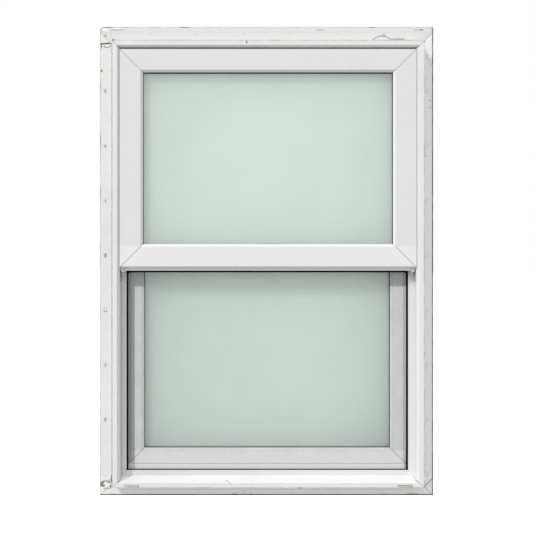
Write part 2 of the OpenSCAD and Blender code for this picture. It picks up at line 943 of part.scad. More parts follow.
module balance_tube(side) {
    color(bright_metal) difference() {
        at_balance(side) translate([0, 0, tube_low])
            cylinder(d = tube_d, h = tube_high - tube_low);
        at_balance(side) translate([0, 0, tube_low - past])
            cylinder(d = tube_bore, h = tube_high - tube_low + 2 * past);
        at_balance(side) translate([-tube_d, 0, screw_z]) rotate([0, 90, 0])
            cylinder(d = screw_d + screw_fit, h = 2 * tube_d);
    }
}

module balance_bushing(side) {
    color(white_paint) at_balance(side) difference() {
        union() {
            translate([0, 0, tube_low - bushing_flange]) cylinder(d = tube_d, h = bushing_flange);
            translate([0, 0, tube_low]) cylinder(d = tube_bore, h = bushing_h);
        }
        translate([0, 0, tube_low - bushing_flange - past])
            cylinder(d = rod_w + 0.2 + 2 * rod_fit, h = bushing_h + bushing_flange + 2 * past);
    }
}

// Screw through the top of the tube into the jamb.
module balance_screw(side) {
    color(bright_metal) at_balance(side) translate([0, 0, screw_z])
        rotate([0, side * 90, 0]) {
            translate([0, 0, -tube_d / 2 - 2.4]) cylinder(d = 7.6, h = 2.4);
            translate([0, 0, -tube_d / 2]) cylinder(d = screw_d, h = 18);
        }
}

module balance_rod(side) {
    turns = (rod_high - rod_low) / rod_pitch;
    color(bright_metal) at_balance(side) translate([0, 0, rod_low])
        linear_extrude(height = rod_high - rod_low, twist = side * 360 * turns,
            slices = round(turns * 10), segments = 4) square([rod_w, rod_t], center = true);
}

// Foot in the sash groove that carries the end of the rod.
module balance_foot(side) {
    color(white_paint) difference() {
        at_balance(side) translate([0, 0, lower_low + 2])
            translate([side * -(groove_u - 23), 0, 0]) mirror([side > 0 ? 0 : 1, 0, 0])
            translate([0, -5, 0]) cube([10, 10, foot_h]);
        at_balance(side) translate([0, 0, rod_low])
            cylinder(d = rod_w + 0.2 + 2 * rod_fit, h = foot_h);
    }
}

module balance_tube_left() {
    balance_tube(-1);
}

module balance_tube_right() {
    balance_tube(1);
}

module balance_bushing_left() {
    balance_bushing(-1);
}

module balance_bushing_right() {
    balance_bushing(1);
}

module balance_screw_left() {
    balance_screw(-1);
}

module balance_screw_right() {
    balance_screw(1);
}

module balance_rod_left() {
    balance_rod(-1);
}

module balance_rod_right() {
    balance_rod(1);
}

module balance_foot_left() {
    balance_foot(-1);
}

module balance_foot_right() {
    balance_foot(1);
}

// ---- lock ------------------------------------------------------------------------

// Keeper on the meeting rail of the upper sash, open to the room.
module lock_keeper() {
    mouth_half = 24;
    color(white_paint) difference() {
        union() {
            box(-lock_half, lock_half, keeper_y, upper_back, keeper_ledge,
                keeper_ledge + keeper_t);
            box(-mouth_half, mouth_half, keeper_y, keeper_y + keeper_t, keeper_ledge,
                keeper_ledge + keeper_mouth + keeper_t);
            box(-mouth_half, mouth_half, keeper_y, upper_back, keeper_ledge + keeper_mouth,
                keeper_ledge + keeper_mouth + keeper_t);
        }
        both_sides() translate([keeper_screw_x, -6.5, keeper_ledge - past])
            cylinder(d = screw_d - 0.4 + screw_fit, h = keeper_t + 2 * past);
    }
}

module keeper_screws() {
    color(bright_metal) both_sides() translate([keeper_screw_x, -6.5, 0]) {
        translate([0, 0, keeper_ledge + keeper_t]) cylinder(d = 7, h = 2);
        translate([0, 0, upper_pocket_low - 6])
            cylinder(d = screw_d - 0.4, h = keeper_ledge + keeper_t - upper_pocket_low + 6);
    }
}

module lock_housing() {
    color(white_paint) difference() {
        box(-lock_half, lock_half, pivot_y - 11, pivot_y + 11, keeper_ledge,
            keeper_ledge + base_t);
        translate([0, pivot_y, keeper_ledge - past]) cylinder(d = pin_d, h = base_t + 2 * past);
        both_sides() translate([lock_screw_x, pivot_y, keeper_ledge - past])
            cylinder(d = screw_d + screw_fit, h = base_t + 2 * past);
    }
}

// Rivet on which the cam and the handle turn.
module lock_pin() {
    color(bright_metal) translate([0, pivot_y, 0]) {
        translate([0, 0, keeper_ledge]) cylinder(d = pin_d,
            h = handle_z + handle_t + turn_gap - keeper_ledge);
        translate([0, 0, handle_z + handle_t + turn_gap]) cylinder(d = 12, h = pin_head_t);
        translate([0, 0, keeper_ledge - 1.5]) cylinder(d = pin_d + 1.6, h = 1.5);
    }
}

// The shanks run on into the rail and the heads stay clear of the cam.
module lock_screws() {
    color(bright_metal) both_sides() translate([lock_screw_x, pivot_y, 0]) {
        translate([0, 0, keeper_ledge + base_t]) cylinder(d = 7.4, h = 2.2);
        translate([0, 0, keeper_ledge - 12]) cylinder(d = screw_d, h = 12 + base_t);
    }
}

// Cam at rest: its lobe points along the rail, clear of the keeper.
module lock_cam() {
    color(white_paint) translate([0, pivot_y, cam_z]) difference() {
        union() {
            cylinder(d = 19, h = cam_t);
            intersection() {
                cylinder(r = cam_r, h = cam_t);
                linear_extrude(height = cam_t) polygon([
                    [0, 0], [2 * cam_r, -2 * cam_r * tan(cam_spread)],
                    [2 * cam_r, 2 * cam_r * tan(cam_spread)]
                ]);
            }
        }
        translate([0, 0, -past])
            cylinder(d = pin_d + 2 * pin_fit, h = cam_t + 2 * past);
    }
}

module lock_handle() {
    color(white_paint) translate([0, pivot_y, handle_z]) difference() {
        union() {
            cylinder(d = 21, h = handle_t);
            translate([-5, 0, 0]) cube([10, handle_len - 5, handle_t]);
            translate([0, handle_len - 5, 0]) cylinder(d = 10, h = handle_t);
        }
        translate([0, 0, -past])
            cylinder(d = pin_d + 2 * pin_fit, h = handle_t + 2 * past);
    }
}

frame_head();
frame_sill();
frame_jamb_left();
frame_jamb_right();
weep_cover_left();
weep_cover_right();
opening_seal();
sash_clip_left();
sash_clip_right();
upper_top_rail();
upper_bottom_rail();
upper_stile_left();
upper_stile_right();
upper_outer_pane();
upper_inner_pane();
upper_spacer();
upper_glazing_seal();
upper_bead_top();
upper_bead_bottom();
upper_bead_left();
upper_bead_right();
upper_setting_blocks();
lock_keeper();
keeper_screws();
balance_tube_left();
balance_tube_right();
balance_bushing_left();
balance_bushing_right();
balance_screw_left();
balance_screw_right();
lower_top_rail();
lower_bottom_rail();
lower_stile_left();
lower_stile_right();
lower_outer_pane();
lower_inner_pane();
lower_spacer();
lower_glazing_seal();
lower_bead_top();
lower_bead_bottom();
lower_bead_left();
lower_bead_right();
lower_setting_blocks();
lower_pile_left();
lower_pile_right();
meeting_rail_pile();
sill_bulb_seal();
balance_rod_left();
balance_rod_right();
balance_foot_left();
balance_foot_right();
lock_housing();
lock_pin();
lock_screws();
lock_cam();
lock_handle();
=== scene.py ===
"""Finishes, weld beads, grime and small hardware of a vinyl single-hung sash window."""

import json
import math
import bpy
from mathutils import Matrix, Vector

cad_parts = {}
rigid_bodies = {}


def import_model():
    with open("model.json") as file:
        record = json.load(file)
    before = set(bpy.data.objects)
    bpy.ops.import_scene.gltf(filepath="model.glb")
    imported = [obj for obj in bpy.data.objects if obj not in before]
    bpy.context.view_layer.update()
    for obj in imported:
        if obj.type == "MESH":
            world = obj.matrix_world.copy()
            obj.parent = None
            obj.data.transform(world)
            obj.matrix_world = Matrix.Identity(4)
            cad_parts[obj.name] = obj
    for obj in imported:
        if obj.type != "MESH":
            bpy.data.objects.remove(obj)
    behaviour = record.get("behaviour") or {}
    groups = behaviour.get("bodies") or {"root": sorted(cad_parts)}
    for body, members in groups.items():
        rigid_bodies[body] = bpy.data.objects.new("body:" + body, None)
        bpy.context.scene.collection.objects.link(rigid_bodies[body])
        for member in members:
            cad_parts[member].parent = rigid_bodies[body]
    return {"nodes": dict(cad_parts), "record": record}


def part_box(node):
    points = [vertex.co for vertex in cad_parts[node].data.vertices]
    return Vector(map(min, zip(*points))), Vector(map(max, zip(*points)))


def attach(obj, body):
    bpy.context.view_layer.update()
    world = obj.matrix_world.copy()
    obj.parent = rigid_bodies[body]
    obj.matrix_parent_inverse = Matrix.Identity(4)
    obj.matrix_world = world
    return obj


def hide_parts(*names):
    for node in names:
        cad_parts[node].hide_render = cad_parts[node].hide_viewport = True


bl_info = {
    "name": "Sash Window Finishes",
    "version": (1, 0, 0),
    "blender": (4, 5, 0),
    "location": "View3D > Sidebar > Window",
    "description": "Vinyl, glass, grime and hardware detail for a sash window",
    "category": "Object",
}

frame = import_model()

import bpy
from bpy.props import FloatProperty, FloatVectorProperty, PointerProperty
from mathutils import Vector

MM = 0.001
QUARTER = math.radians(90)
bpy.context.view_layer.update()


# ---- places, read from the frame or set off from it -----------------------------------

def span(node):
    """Lowest and highest corner of a node."""
    low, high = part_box(node)
    return Vector(low), Vector(high)


HEAD_LOW, HEAD_HIGH = span("frame_head")
SASH_LOW, SASH_HIGH = span("upper_top_rail")
MEETING_LOW, MEETING_HIGH = span("upper_bottom_rail")
LOWER_LOW, LOWER_HIGH = span("lower_bottom_rail")
WEEP_LOW, WEEP_HIGH = span("weep_cover_right")
LEFT_EDGE, FRONT_Y = HEAD_LOW.x, HEAD_LOW.y
RIGHT_EDGE, TOP_EDGE = HEAD_HIGH.x, HEAD_HIGH.z
FOOT_EDGE = span("frame_sill")[0].z
MOUNTS = {mount["name"]: mount for mount in frame["record"]["mounts"]}
# Outer faces of the fins, and the fold in the head fin.
FIN_Y = -2.2 * MM
FOLD_Z = TOP_EDGE - 11.7 * MM
SLOT_X = {side: MOUNTS["jamb_slots_%s_1" % side]["pos_m"][0] for side in ("left", "right")}
# Half the frame without its fins, the width of its front lip, and the parting leg behind it.
HALF_W = SASH_HIGH.x + 16.9 * MM
HALF_H = -MOUNTS["sill_base"]["pos_m"][2]
LIP_W, LIP_BACK, FLANK_BACK = 11 * MM, FRONT_Y + 0.6 * MM, FRONT_Y + 8 * MM
LEG_X, LEG_FRONT, LEG_BACK = HALF_W - 31 * MM, -1.6 * MM, -0.4 * MM
NAIL_Z = MOUNTS["nail_holes_outer"]["dims"]["spacing_y_mm"] / 2 * MM
HOLE_PITCH = MOUNTS["nail_holes_outer"]["dims"]["spacing_x_mm"] / 5 * MM
# Openings of the sashes: half their width, their lowest and highest point, and their bevel.
OPEN_HALF = SASH_HIGH.x - (SASH_HIGH.z - SASH_LOW.z)
BEVEL_W = 4.5 * MM
UPPER_OPEN = (MEETING_HIGH.z, SASH_LOW.z)
LOWER_OPEN = (LOWER_HIGH.z, span("lower_top_rail")[0].z)


def slot_heights():
    """Heights of the nail slots in a jamb fin, lowest first."""
    heights = []
    for index in range(1, 5):
        mount = MOUNTS["jamb_slots_left_%d" % index]
        reach = mount["dims"]["spacing_y_mm"] / 2 * MM
        heights += [mount["pos_m"][2] - reach, mount["pos_m"][2] + reach]
    return sorted(heights)


# ---- settings -----------------------------------------------------------------------

class VinylSettings(bpy.types.PropertyGroup):
    """Colours and finish of the extruded vinyl."""

    white: FloatVectorProperty(
        name="White", description="Colour of clean vinyl", subtype="COLOR",
        default=(0.83, 0.832, 0.826), min=0, max=1)
    sash_white: FloatVectorProperty(
        name="Sash white", description="Colour of the cooler vinyl of the upper sash",
        subtype="COLOR", default=(0.785, 0.79, 0.79), min=0, max=1)
    weathered: FloatVectorProperty(
        name="Weathered", description="Colour of the dull film on the lower sash",
        subtype="COLOR", default=(0.605, 0.615, 0.62), min=0, max=1)
    grime: FloatVectorProperty(
        name="Grime", description="Colour of the brown dirt in seams and cracks",
        subtype="COLOR", default=(0.22, 0.155, 0.10), min=0, max=1)
    # This colour draws the dark line along the right and bottom outer edges of the fins.
    edge_dark: FloatVectorProperty(
        name="Edge dirt", description="Colour of the grey dirt on cut edges",
        subtype="COLOR", default=(0.055, 0.042, 0.032), min=0, max=1)
    roughness: FloatProperty(
        name="Roughness", description="Roughness of clean vinyl", default=0.42, min=0, max=1)


class GlassSettings(bpy.types.PropertyGroup):
    """Colours of the glazing."""

    tint: FloatVectorProperty(
        name="Tint", description="Green tint of the clear outer pane", subtype="COLOR",
        default=(0.86, 0.93, 0.89), min=0, max=1)
    frost: FloatVectorProperty(
        name="Frost", description="Colour of the frosted inner pane", subtype="COLOR",
        default=(0.78, 0.86, 0.81), min=0, max=1)
    # Colour of the painted shade that darkens the frosted panes towards their edges.
    film: FloatVectorProperty(
        name="Film", description="Colour of the haze that gathers towards the edges",
        subtype="COLOR", default=(0.43, 0.50, 0.46), min=0, max=1)


class HardwareSettings(bpy.types.PropertyGroup):
    """Sizes of the small parts."""

    tuft_pitch: FloatProperty(
        name="Tuft pitch", description="Distance between the tufts of a pile strip",
        default=1.8 * MM, min=0.5 * MM, unit="LENGTH")
    corner_round: FloatProperty(
        name="Corner round", description="Rounding of the cast parts of the lock",
        default=0.8 * MM, min=0.1 * MM, unit="LENGTH")
    crack_width: FloatProperty(
        name="Crack width", description="Width of the open cracks in the fins",
        default=1.5 * MM, min=0.2 * MM, unit="LENGTH")


class StageSettings(bpy.types.PropertyGroup):
    """Light, floor and camera."""

    sun: FloatProperty(
        name="Key light", description="Strength of the key light", default=1.25, min=0)
    side_fill: FloatProperty(
        name="Side fill", description="Strength of the light from the sides and above",
        default=1.12, min=0)
    front_fill: FloatProperty(
        name="Front fill", description="Strength of the light from straight ahead",
        default=0.82, min=0)
    distance: FloatProperty(
        name="Camera distance", description="Camera to the front of the frame",
        default=2.0, min=0.5, unit="LENGTH")
    floor_drop: FloatProperty(
        name="Floor drop", description="How far the floor lies below the sill fin",
        default=0.3, min=0, unit="LENGTH")


# ---- node helpers -------------------------------------------------------------------

def by_math(operation, turned=False):
    """An operator of Wire that adds a math node; turned swaps its two values."""
    def apply(wire, *others):
        values = (*others, wire) if turned else (wire, *others)
        return Wire(grow(wire, "ShaderNodeMath", *values, operation=operation).outputs[0])
    return apply


class Wire:
    """A value in a node tree, whose sums, products and comparisons are math nodes."""

    def __init__(self, socket):
        self.socket = socket

    __add__, __radd__ = by_math("ADD"), by_math("ADD", turned=True)
    __sub__, __rsub__ = by_math("SUBTRACT"), by_math("SUBTRACT", turned=True)
    __mul__, __truediv__, __pow__ = by_math("MULTIPLY"), by_math("DIVIDE"), by_math("POWER")
    __gt__, __lt__, __abs__ = by_math("GREATER_THAN"), by_math("LESS_THAN"), by_math("ABSOLUTE")
    most = by_math("MAXIMUM")

    def clamped(self):
        """Keeps the result of the last sum or product between 0 and 1."""
        self.socket.node.use_clamp = True
        return self


def feed(socket, value):
    """Links a wire to a socket, or sets a number, a vector or a colour on it."""
    if isinstance(value, Wire):
        socket.id_data.links.new(value.socket, socket)
    else:
        socket.default_value = (*value, 1) if socket.type == "RGBA" else value


def grow(wire, kind, *values, **settings):
    """A node in the tree of a wire, with its first inputs filled in order."""
    node = wire.socket.id_data.nodes.new(kind)
    for name, value in settings.items():
        setattr(node, name, value)
    for socket, value in zip(node.inputs, values):
        feed(socket, value)
    return node


def most(first, *others):
    """The strongest of several masks."""
    for other in others:
        first = first.most(other)
    return first


def between(value, low, high):
    """1 where a value lies between two limits."""
    return (value > low) * (value < high)


def vector(operation, *values):
    """Result of a sum on vectors, or the length of one."""
    node = grow(values[0], "ShaderNodeVectorMath", *values, operation=operation)
    return Wire(node.outputs["Value" if operation == "LENGTH" else "Vector"])


def noise(position, scale, detail=3.0, roughness=0.55, distortion=0.0):
    """Cloudy noise between 0 and 1."""
    node = grow(position, "ShaderNodeTexNoise")
    for name, value in (("Vector", position), ("Scale", scale), ("Detail", detail),
                        ("Roughness", roughness), ("Distortion", distortion)):
        feed(node.inputs[name], value)
    return Wire(node.outputs["Fac"])


def smooth(value, *limits):
    """Soft step of a value between two limits, from 0 to 1 or between two more."""
    return Wire(grow(value, "ShaderNodeMapRange", value, *limits,
                     interpolation_type="SMOOTHSTEP").outputs["Result"])


def axes(position):
    """The x, y and z of a place."""
    return [Wire(out) for out in grow(position, "ShaderNodeSeparateXYZ", position).outputs]


def stretch(position, scale):
    """A place whose x, y and z are scaled, which draws a pattern out."""
    node = grow(position, "ShaderNodeMapping", position, vector_type="POINT")
    node.inputs["Scale"].default_value = scale
    return Wire(node.outputs["Vector"])


# ---- effects shared by the materials ------------------------------------------------

ORIGIN = (0.0, 0.0, 0.0)


def new_group(name, inputs, *outputs):
    """An empty shader group, its inputs as wires and its output sockets."""
    tree = bpy.data.node_groups.new(name, "ShaderNodeTree")
    for label, default in inputs.items():
        kind = "Float" if isinstance(default, float) else "Vector"
        tree.interface.new_socket(
            label, in_out="INPUT", socket_type="NodeSocket" + kind).default_value = default
    for label in outputs:
        tree.interface.new_socket(label, in_out="OUTPUT", socket_type="NodeSocketFloat")
    given = tree.nodes.new("NodeGroupInput").outputs
    wanted = tree.nodes.new("NodeGroupOutput").inputs
    return [Wire(given[label]) for label in inputs], [wanted[label] for label in outputs]


def stain_group(name):
    """Ragged spot: an ellipsoid whose outline is broken up by noise."""
    (position, centre, radius, ragged), (mask,) = new_group(
        name, {"Position": ORIGIN, "Centre": ORIGIN, "Radius": (0.01, 0.01, 0.01),
               "Ragged": 0.6}, "Mask")
    reach = vector("LENGTH", vector("DIVIDE", vector("SUBTRACT", position, centre), radius))
    rough = noise(position, 420.0, 4.0) - 0.5
    feed(mask, smooth(reach + rough * ragged, 0.75, 1.1, 1.0, 0.0))


def line_group(name):
    """Dirt along a straight line, where Value is the distance across it."""
    (position, value, centre, width, breakup, scale), (mask,) = new_group(
        name, {"Position": ORIGIN, "Value": 0.0, "Centre": 0.0, "Width": 0.001,
               "Breakup": 0.5, "Scale": 60.0}, "Mask")
    gate = smooth(noise(position, scale, 5.0, 0.7), 0.38, 0.62)
    line = smooth(abs(value - centre) / width, 0.55, 1.15, 1.0, 0.0)
    feed(mask, (line * (1.0 - breakup * (1.0 - gate))).clamped())


def weld_group(name):
    """Thin even line where Value passes through zero."""
    (value, width), (mask,) = new_group(name, {"Value": 0.0, "Width": 0.001}, "Mask")
    feed(mask, smooth(abs(value) / width, 0.5, 1.1, 1.0, 0.0))


def film_group(name):
    """Mottled film of dirt, with vertical runs of rain water."""
    (position, scale, amount), (mask,) = new_group(
        name, {"Position": ORIGIN, "Scale": 9.0, "Amount": 0.5}, "Mask")
    clouds = smooth(noise(position, scale, 6.0, 0.62, 0.4), 0.36, 0.72)
    runs = smooth(noise(stretch(position, (26.0, 26.0, 2.2)), 2.4, 3.0, 0.5), 0.45, 0.75)
    specks = smooth(noise(position, 330.0, 2.0, 0.5), 0.68, 0.78)
    feed(mask, ((clouds * 0.72 + runs * 0.32 + specks * 0.25) * amount).clamped())


def skin_group(name):
    """Relief and gloss of extruded vinyl: faint waves, die lines and fine scratches."""
    (position, gloss), (height, roughness) = new_group(
        name, {"Position": ORIGIN, "Gloss": 0.42}, "Height", "Roughness")
    waves = noise(position, 14.0, 2.0, 0.4)
    grain = noise(position, 900.0, 2.0, 0.5)
    upright = noise(stretch(position, (160.0, 160.0, 3.0)), 3.0, 2.0, 0.5)
    feed(height, waves * 0.8 + grain * 0.06 + upright * 0.10)
    worn = (noise(position, 38.0, 5.0, 0.65) - 0.5) * 0.35
    feed(roughness, (gloss + worn).clamped())


GROUPS = {"Stain Spot": stain_group, "Dirt Line": line_group, "Weld Line": weld_group,
          "Grime Film": film_group, "Vinyl Skin": skin_group}


def shared(name, first, **values):
    """The outputs of a shared group, which is built the first time that it is used."""
    if name not in bpy.data.node_groups:
        GROUPS[name](name)
    node = grow(first, "ShaderNodeGroup", node_tree=bpy.data.node_groups[name])
    feed(node.inputs[0], first)
    for label, value in values.items():
        feed(node.inputs[label.title()], value)
    return [Wire(out) for out in node.outputs]


def weld_line(value, width):
    """Mask of a thin line where a value passes through zero."""
    return shared("Weld Line", value, width=width)[0]


class Finish:
    """A material in the making, with the colour laid on so far."""

    def __init__(self, name, colour):
        self.material = bpy.data.materials.new(name)
        self.material.use_nodes = True
        self.material.diffuse_color = (*colour, 1)
        tree = self.material.node_tree
        self.inputs = tree.nodes["Principled BSDF"].inputs
        self.position = Wire(tree.nodes.new("ShaderNodeTexCoord").outputs["Object"])
        self.colour = colour

    def lay(self, colour, mask):
        """Lays a colour over the ones before, as far as a mask says."""
        node = grow(mask, "ShaderNodeMix", data_type="RGBA")
        for index, value in ((0, mask), (6, self.colour), (7, colour)):
            feed(node.inputs[index], value)
        self.colour = Wire(node.outputs[2])

    def noise(self, *values):
        """Cloudy noise on the piece."""
        return noise(self.position, *values)

    def film(self, scale, amount):
        """Mask of a film of grime."""
        return shared("Grime Film", self.position, scale=scale, amount=amount)[0]

    def spots(self, places, ragged):
        """Joined stain spots; a place is (x, z, half width, half height) in mm."""
        return most(*[shared(
            "Stain Spot", self.position, centre=(x * MM, 0.0, z * MM),
            radius=(half_w * MM, 1.0, half_h * MM), ragged=ragged)[0]
            for x, z, half_w, half_h in places])

    def lines(self, *rows):
        """Joined dirt lines; a row is (value, centre in mm, width in mm, breakup, scale)."""
        return most(*[shared(
            "Dirt Line", self.position, value=value, centre=centre * MM, width=width * MM,
            breakup=breakup, scale=scale)[0] for value, centre, width, breakup, scale in rows])

    def relief(self, height, strength, distance):
        """Feeds the shader a bump map."""
        node = grow(self.position, "ShaderNodeBump")
        for name, value in (("Strength", strength), ("Distance", distance), ("Height", height)):
            feed(node.inputs[name], value)
        feed(self.inputs["Normal"], Wire(node.outputs["Normal"]))

    def done(self, **values):
        """Feeds the shader its colour and other values, and hands over the material."""
        feed(self.inputs["Base Color"], self.colour)
        for name, value in values.items():
            feed(self.inputs[name.replace("_", " ").title().replace("Ior", "IOR")], value)
        return self.material

    def vinyl(self, gloss, dents, matt=None):
        """Hands over a vinyl, with dents pressed in and matt places dulled."""
        height, rough = shared("Vinyl Skin", self.position, gloss=gloss)
        if matt is not None:
            rough = (rough + matt * 0.4).clamped()
        self.relief(height - dents * 0.4, 0.35, 0.5 * MM)
        return self.done(roughness=rough)


# ---- materials ----------------------------------------------------------------------

# Brown stains of the frame, in mm from its centre: x, z, half width, half height.
BROWN_SPOTS = [
    (-362, 537.2, 15, 1.4), (-187, 537.4, 14, 1.2), (-368, 518.2, 2.4, 2.4),
    (-350, 508.5, 3.4, 2.8), (-366, 500.4, 14.5, 2.0), (-377.4, 494, 1.8, 5.5),
    (-376.8, 438.6, 2.7, 3.5), (-375.0, -498.0, 4.2, 3.0), (-372.5, -504.5, 3.6, 3.2),
    (-354.4, -488, 2.2, 9.0),
    (-356, -507, 2.0, 5.0), (350.5, 531.6, 4.0, 1.5), (369.9, 371.1, 1.6, 1.6),
    (369.9, 354.9, 1.6, 1.6), (360.2, 245.8, 1.6, 1.4), (-75, -523.8, 8.0, 1.6),
    (-37, -523.9, 4.4, 1.4), (75, -509.5, 3.0, 1.4), (-48, 497.5, 1.5, 3.6),
    (330, -523.5, 16, 1.4), (-352, -524.4, 9, 1.4), (-378.8, 534, 1.4, 5.0),
    (357, 504.5, 2.0, 2.4), (239, 537.4, 10, 1.2)
]
# Fainter tan smears.
TAN_SPOTS = [
    (-341, 531.5, 17, 1.8), (-357, -494, 7.0, 3.5), (-378.6, 401, 1.4, 20),
    (-378.8, 275, 1.3, 32), (-378.8, 160, 1.3, 22), (120, 531.2, 12, 1.4),
    (-361, 503.8, 3.0, 1.4), (300, 512.5, 16, 1.4), (345, 531.5, 12, 1.6),
    (-366, -511, 9.0, 2.2)
]
# Bare bright patches where the surface has flaked.
WHITE_SPOTS = [
    (-368, 532, 9, 3.6), (-343, 534.5, 16, 1.6), (-364, -501.5, 6.5, 4.8),
    (-93, -458.5, 3, 1.6), (-343, -514, 12, 4)
]


# Lines of dirt where the left, right and head fins leave the frame, in mm from its centre.
LEFT_ROOT, RIGHT_ROOT, HEAD_ROOT = -353.2, 357.6, 508.4
MITRE_REACH = 32 * MM
# Edges of the painted shadows at the left of the lower sash and under the meeting rail.
LEFT_SHADOW = (-300.5 * MM, -304 * MM)
RAIL_SHADOW = (-52.4 * MM, -51.2 * MM)


def dress(names, material):
    """Gives CAD nodes a material."""
    for name in names:
        for slot in frame["nodes"][name].material_slots:
            slot.material = material


def nodes_with(*words):
    """CAD nodes whose name holds any of the words."""
    return [name for name in frame["nodes"] if any(word in name for word in words)]


def sash_members(sash):
    """The extrusions of a sash: its rails, stiles and beads."""
    return [name for name in nodes_with(sash) if name in nodes_with("rail", "stile", "bead")]


def fin_mitres(x, z, on_fin):
    """Weld lines of the fins, at 45 degrees from their outer corners."""
    lines = []
    for edge, side in ((LEFT_EDGE, 1.0), (RIGHT_EDGE, -1.0)):
        for end, rise in ((FOLD_Z, -1.0), (FOOT_EDGE, 1.0)):
            across, along = (x - edge) * side, (z - end) * rise
            near = (along < MITRE_REACH) * (along > -0.5 * MM) * (across < MITRE_REACH)
            lines.append(near * weld_line(across - along, 0.9 * MM))
    return on_fin * most(*lines)


def weep_rim(x, z):
    """Distance from the outline of the dirt round the covers of the weep slots."""
    centre_x = (WEEP_LOW.x + WEEP_HIGH.x) / 2
    across = abs(abs(x) - centre_x) - 16 * MM
    along = abs(z - (-HALF_H + 3.1 * MM)) - 1.6 * MM
    return most(across, along)


def recess_shading(finish, x, y, z):
    """Painted shade inside the frame, and painted light on its sill, leg tips and right side."""
    wide, tall = abs(x), abs(z)
    inner = (wide < HALF_W - LIP_W) * (tall < HALF_H - LIP_W)
    # Painted shade, darker deeper inside the frame and more at the left than at the right.
    depth = smooth(y, FLANK_BACK, FRONT_Y + 36 * MM)
    finish.lay((0.50, 0.52, 0.54), depth * inner * smooth(x, HALF_W, -HALF_W, 0.12, 0.42))
    # Painted shade on the left chamfer of the lip, which faces away from the light.
    flank = inner * (x < 0.0) * between(y, LIP_BACK, FLANK_BACK)
    finish.lay((0.50, 0.52, 0.54), flank * 0.35)
    # Painted shade in the gap between the head and the upper sash.
    gap = inner * (z > HALF_H - 15 * MM) * smooth(y, FRONT_Y + 6 * MM, FRONT_Y + 9 * MM)
    finish.lay((0.22, 0.21, 0.20), gap * 0.6)
    # Painted light on the sill slope, which faces up to the light.
    slope = between(z, -HALF_H + 10 * MM, -HALF_H + 18.3 * MM) * (y > LIP_BACK)
    finish.lay((0.90, 0.90, 0.89), slope * 0.75)
    at_leg = inner * (wide > LEG_X)
    leg = at_leg * between(y, LEG_FRONT, LEG_BACK)
    # Painted highlight on the tips of the parting legs.
    tip = leg * (wide < HALF_W - 26.4 * MM) * (z > -HALF_H + 36 * MM)
    finish.lay((0.96, 0.96, 0.96), tip * 0.9)
    # Painted shade at the foot of the left wall, on the parting leg.
    corner = leg * (x < 0.0) * smooth(wide, HALF_W - 21 * MM, HALF_W - 16.4 * MM)
    finish.lay((0.26, 0.27, 0.28), corner * 0.5)
    # Painted light on the right wall and leg below the meeting rail.
    lit_side = inner * (z < MEETING_LOW.z) * (x > LEG_X) * (y < LEG_BACK)
    finish.lay((0.94, 0.94, 0.94), lit_side * 0.3)
    # Painted shade on the sash clips.
    clips = at_leg * between(z, -40 * MM, MEETING_LOW.z + 2 * MM) * between(
        y, FLANK_BACK, LEG_FRONT)
    finish.lay((0.36, 0.37, 0.38), clips * 0.55)


def fin_tones(finish, x, z, on_fin):
    """Greyer head fin and painted light on the shaded right and sill fins, parted at the mitre.
    """
    mitre = abs(x) - z - (RIGHT_EDGE - FOLD_Z)
    head = (z > HALF_H) * (mitre < 0.0) * on_fin
    finish.lay((0.70, 0.70, 0.69), head * 0.6)
    # Painted light, lifting the shade that the frame throws on the right and sill fins.
    clean = on_fin * most((x > HALF_W) * (mitre > 0.0), z < -HALF_H)
    finish.lay((0.93, 0.93, 0.92), clean * 0.6)


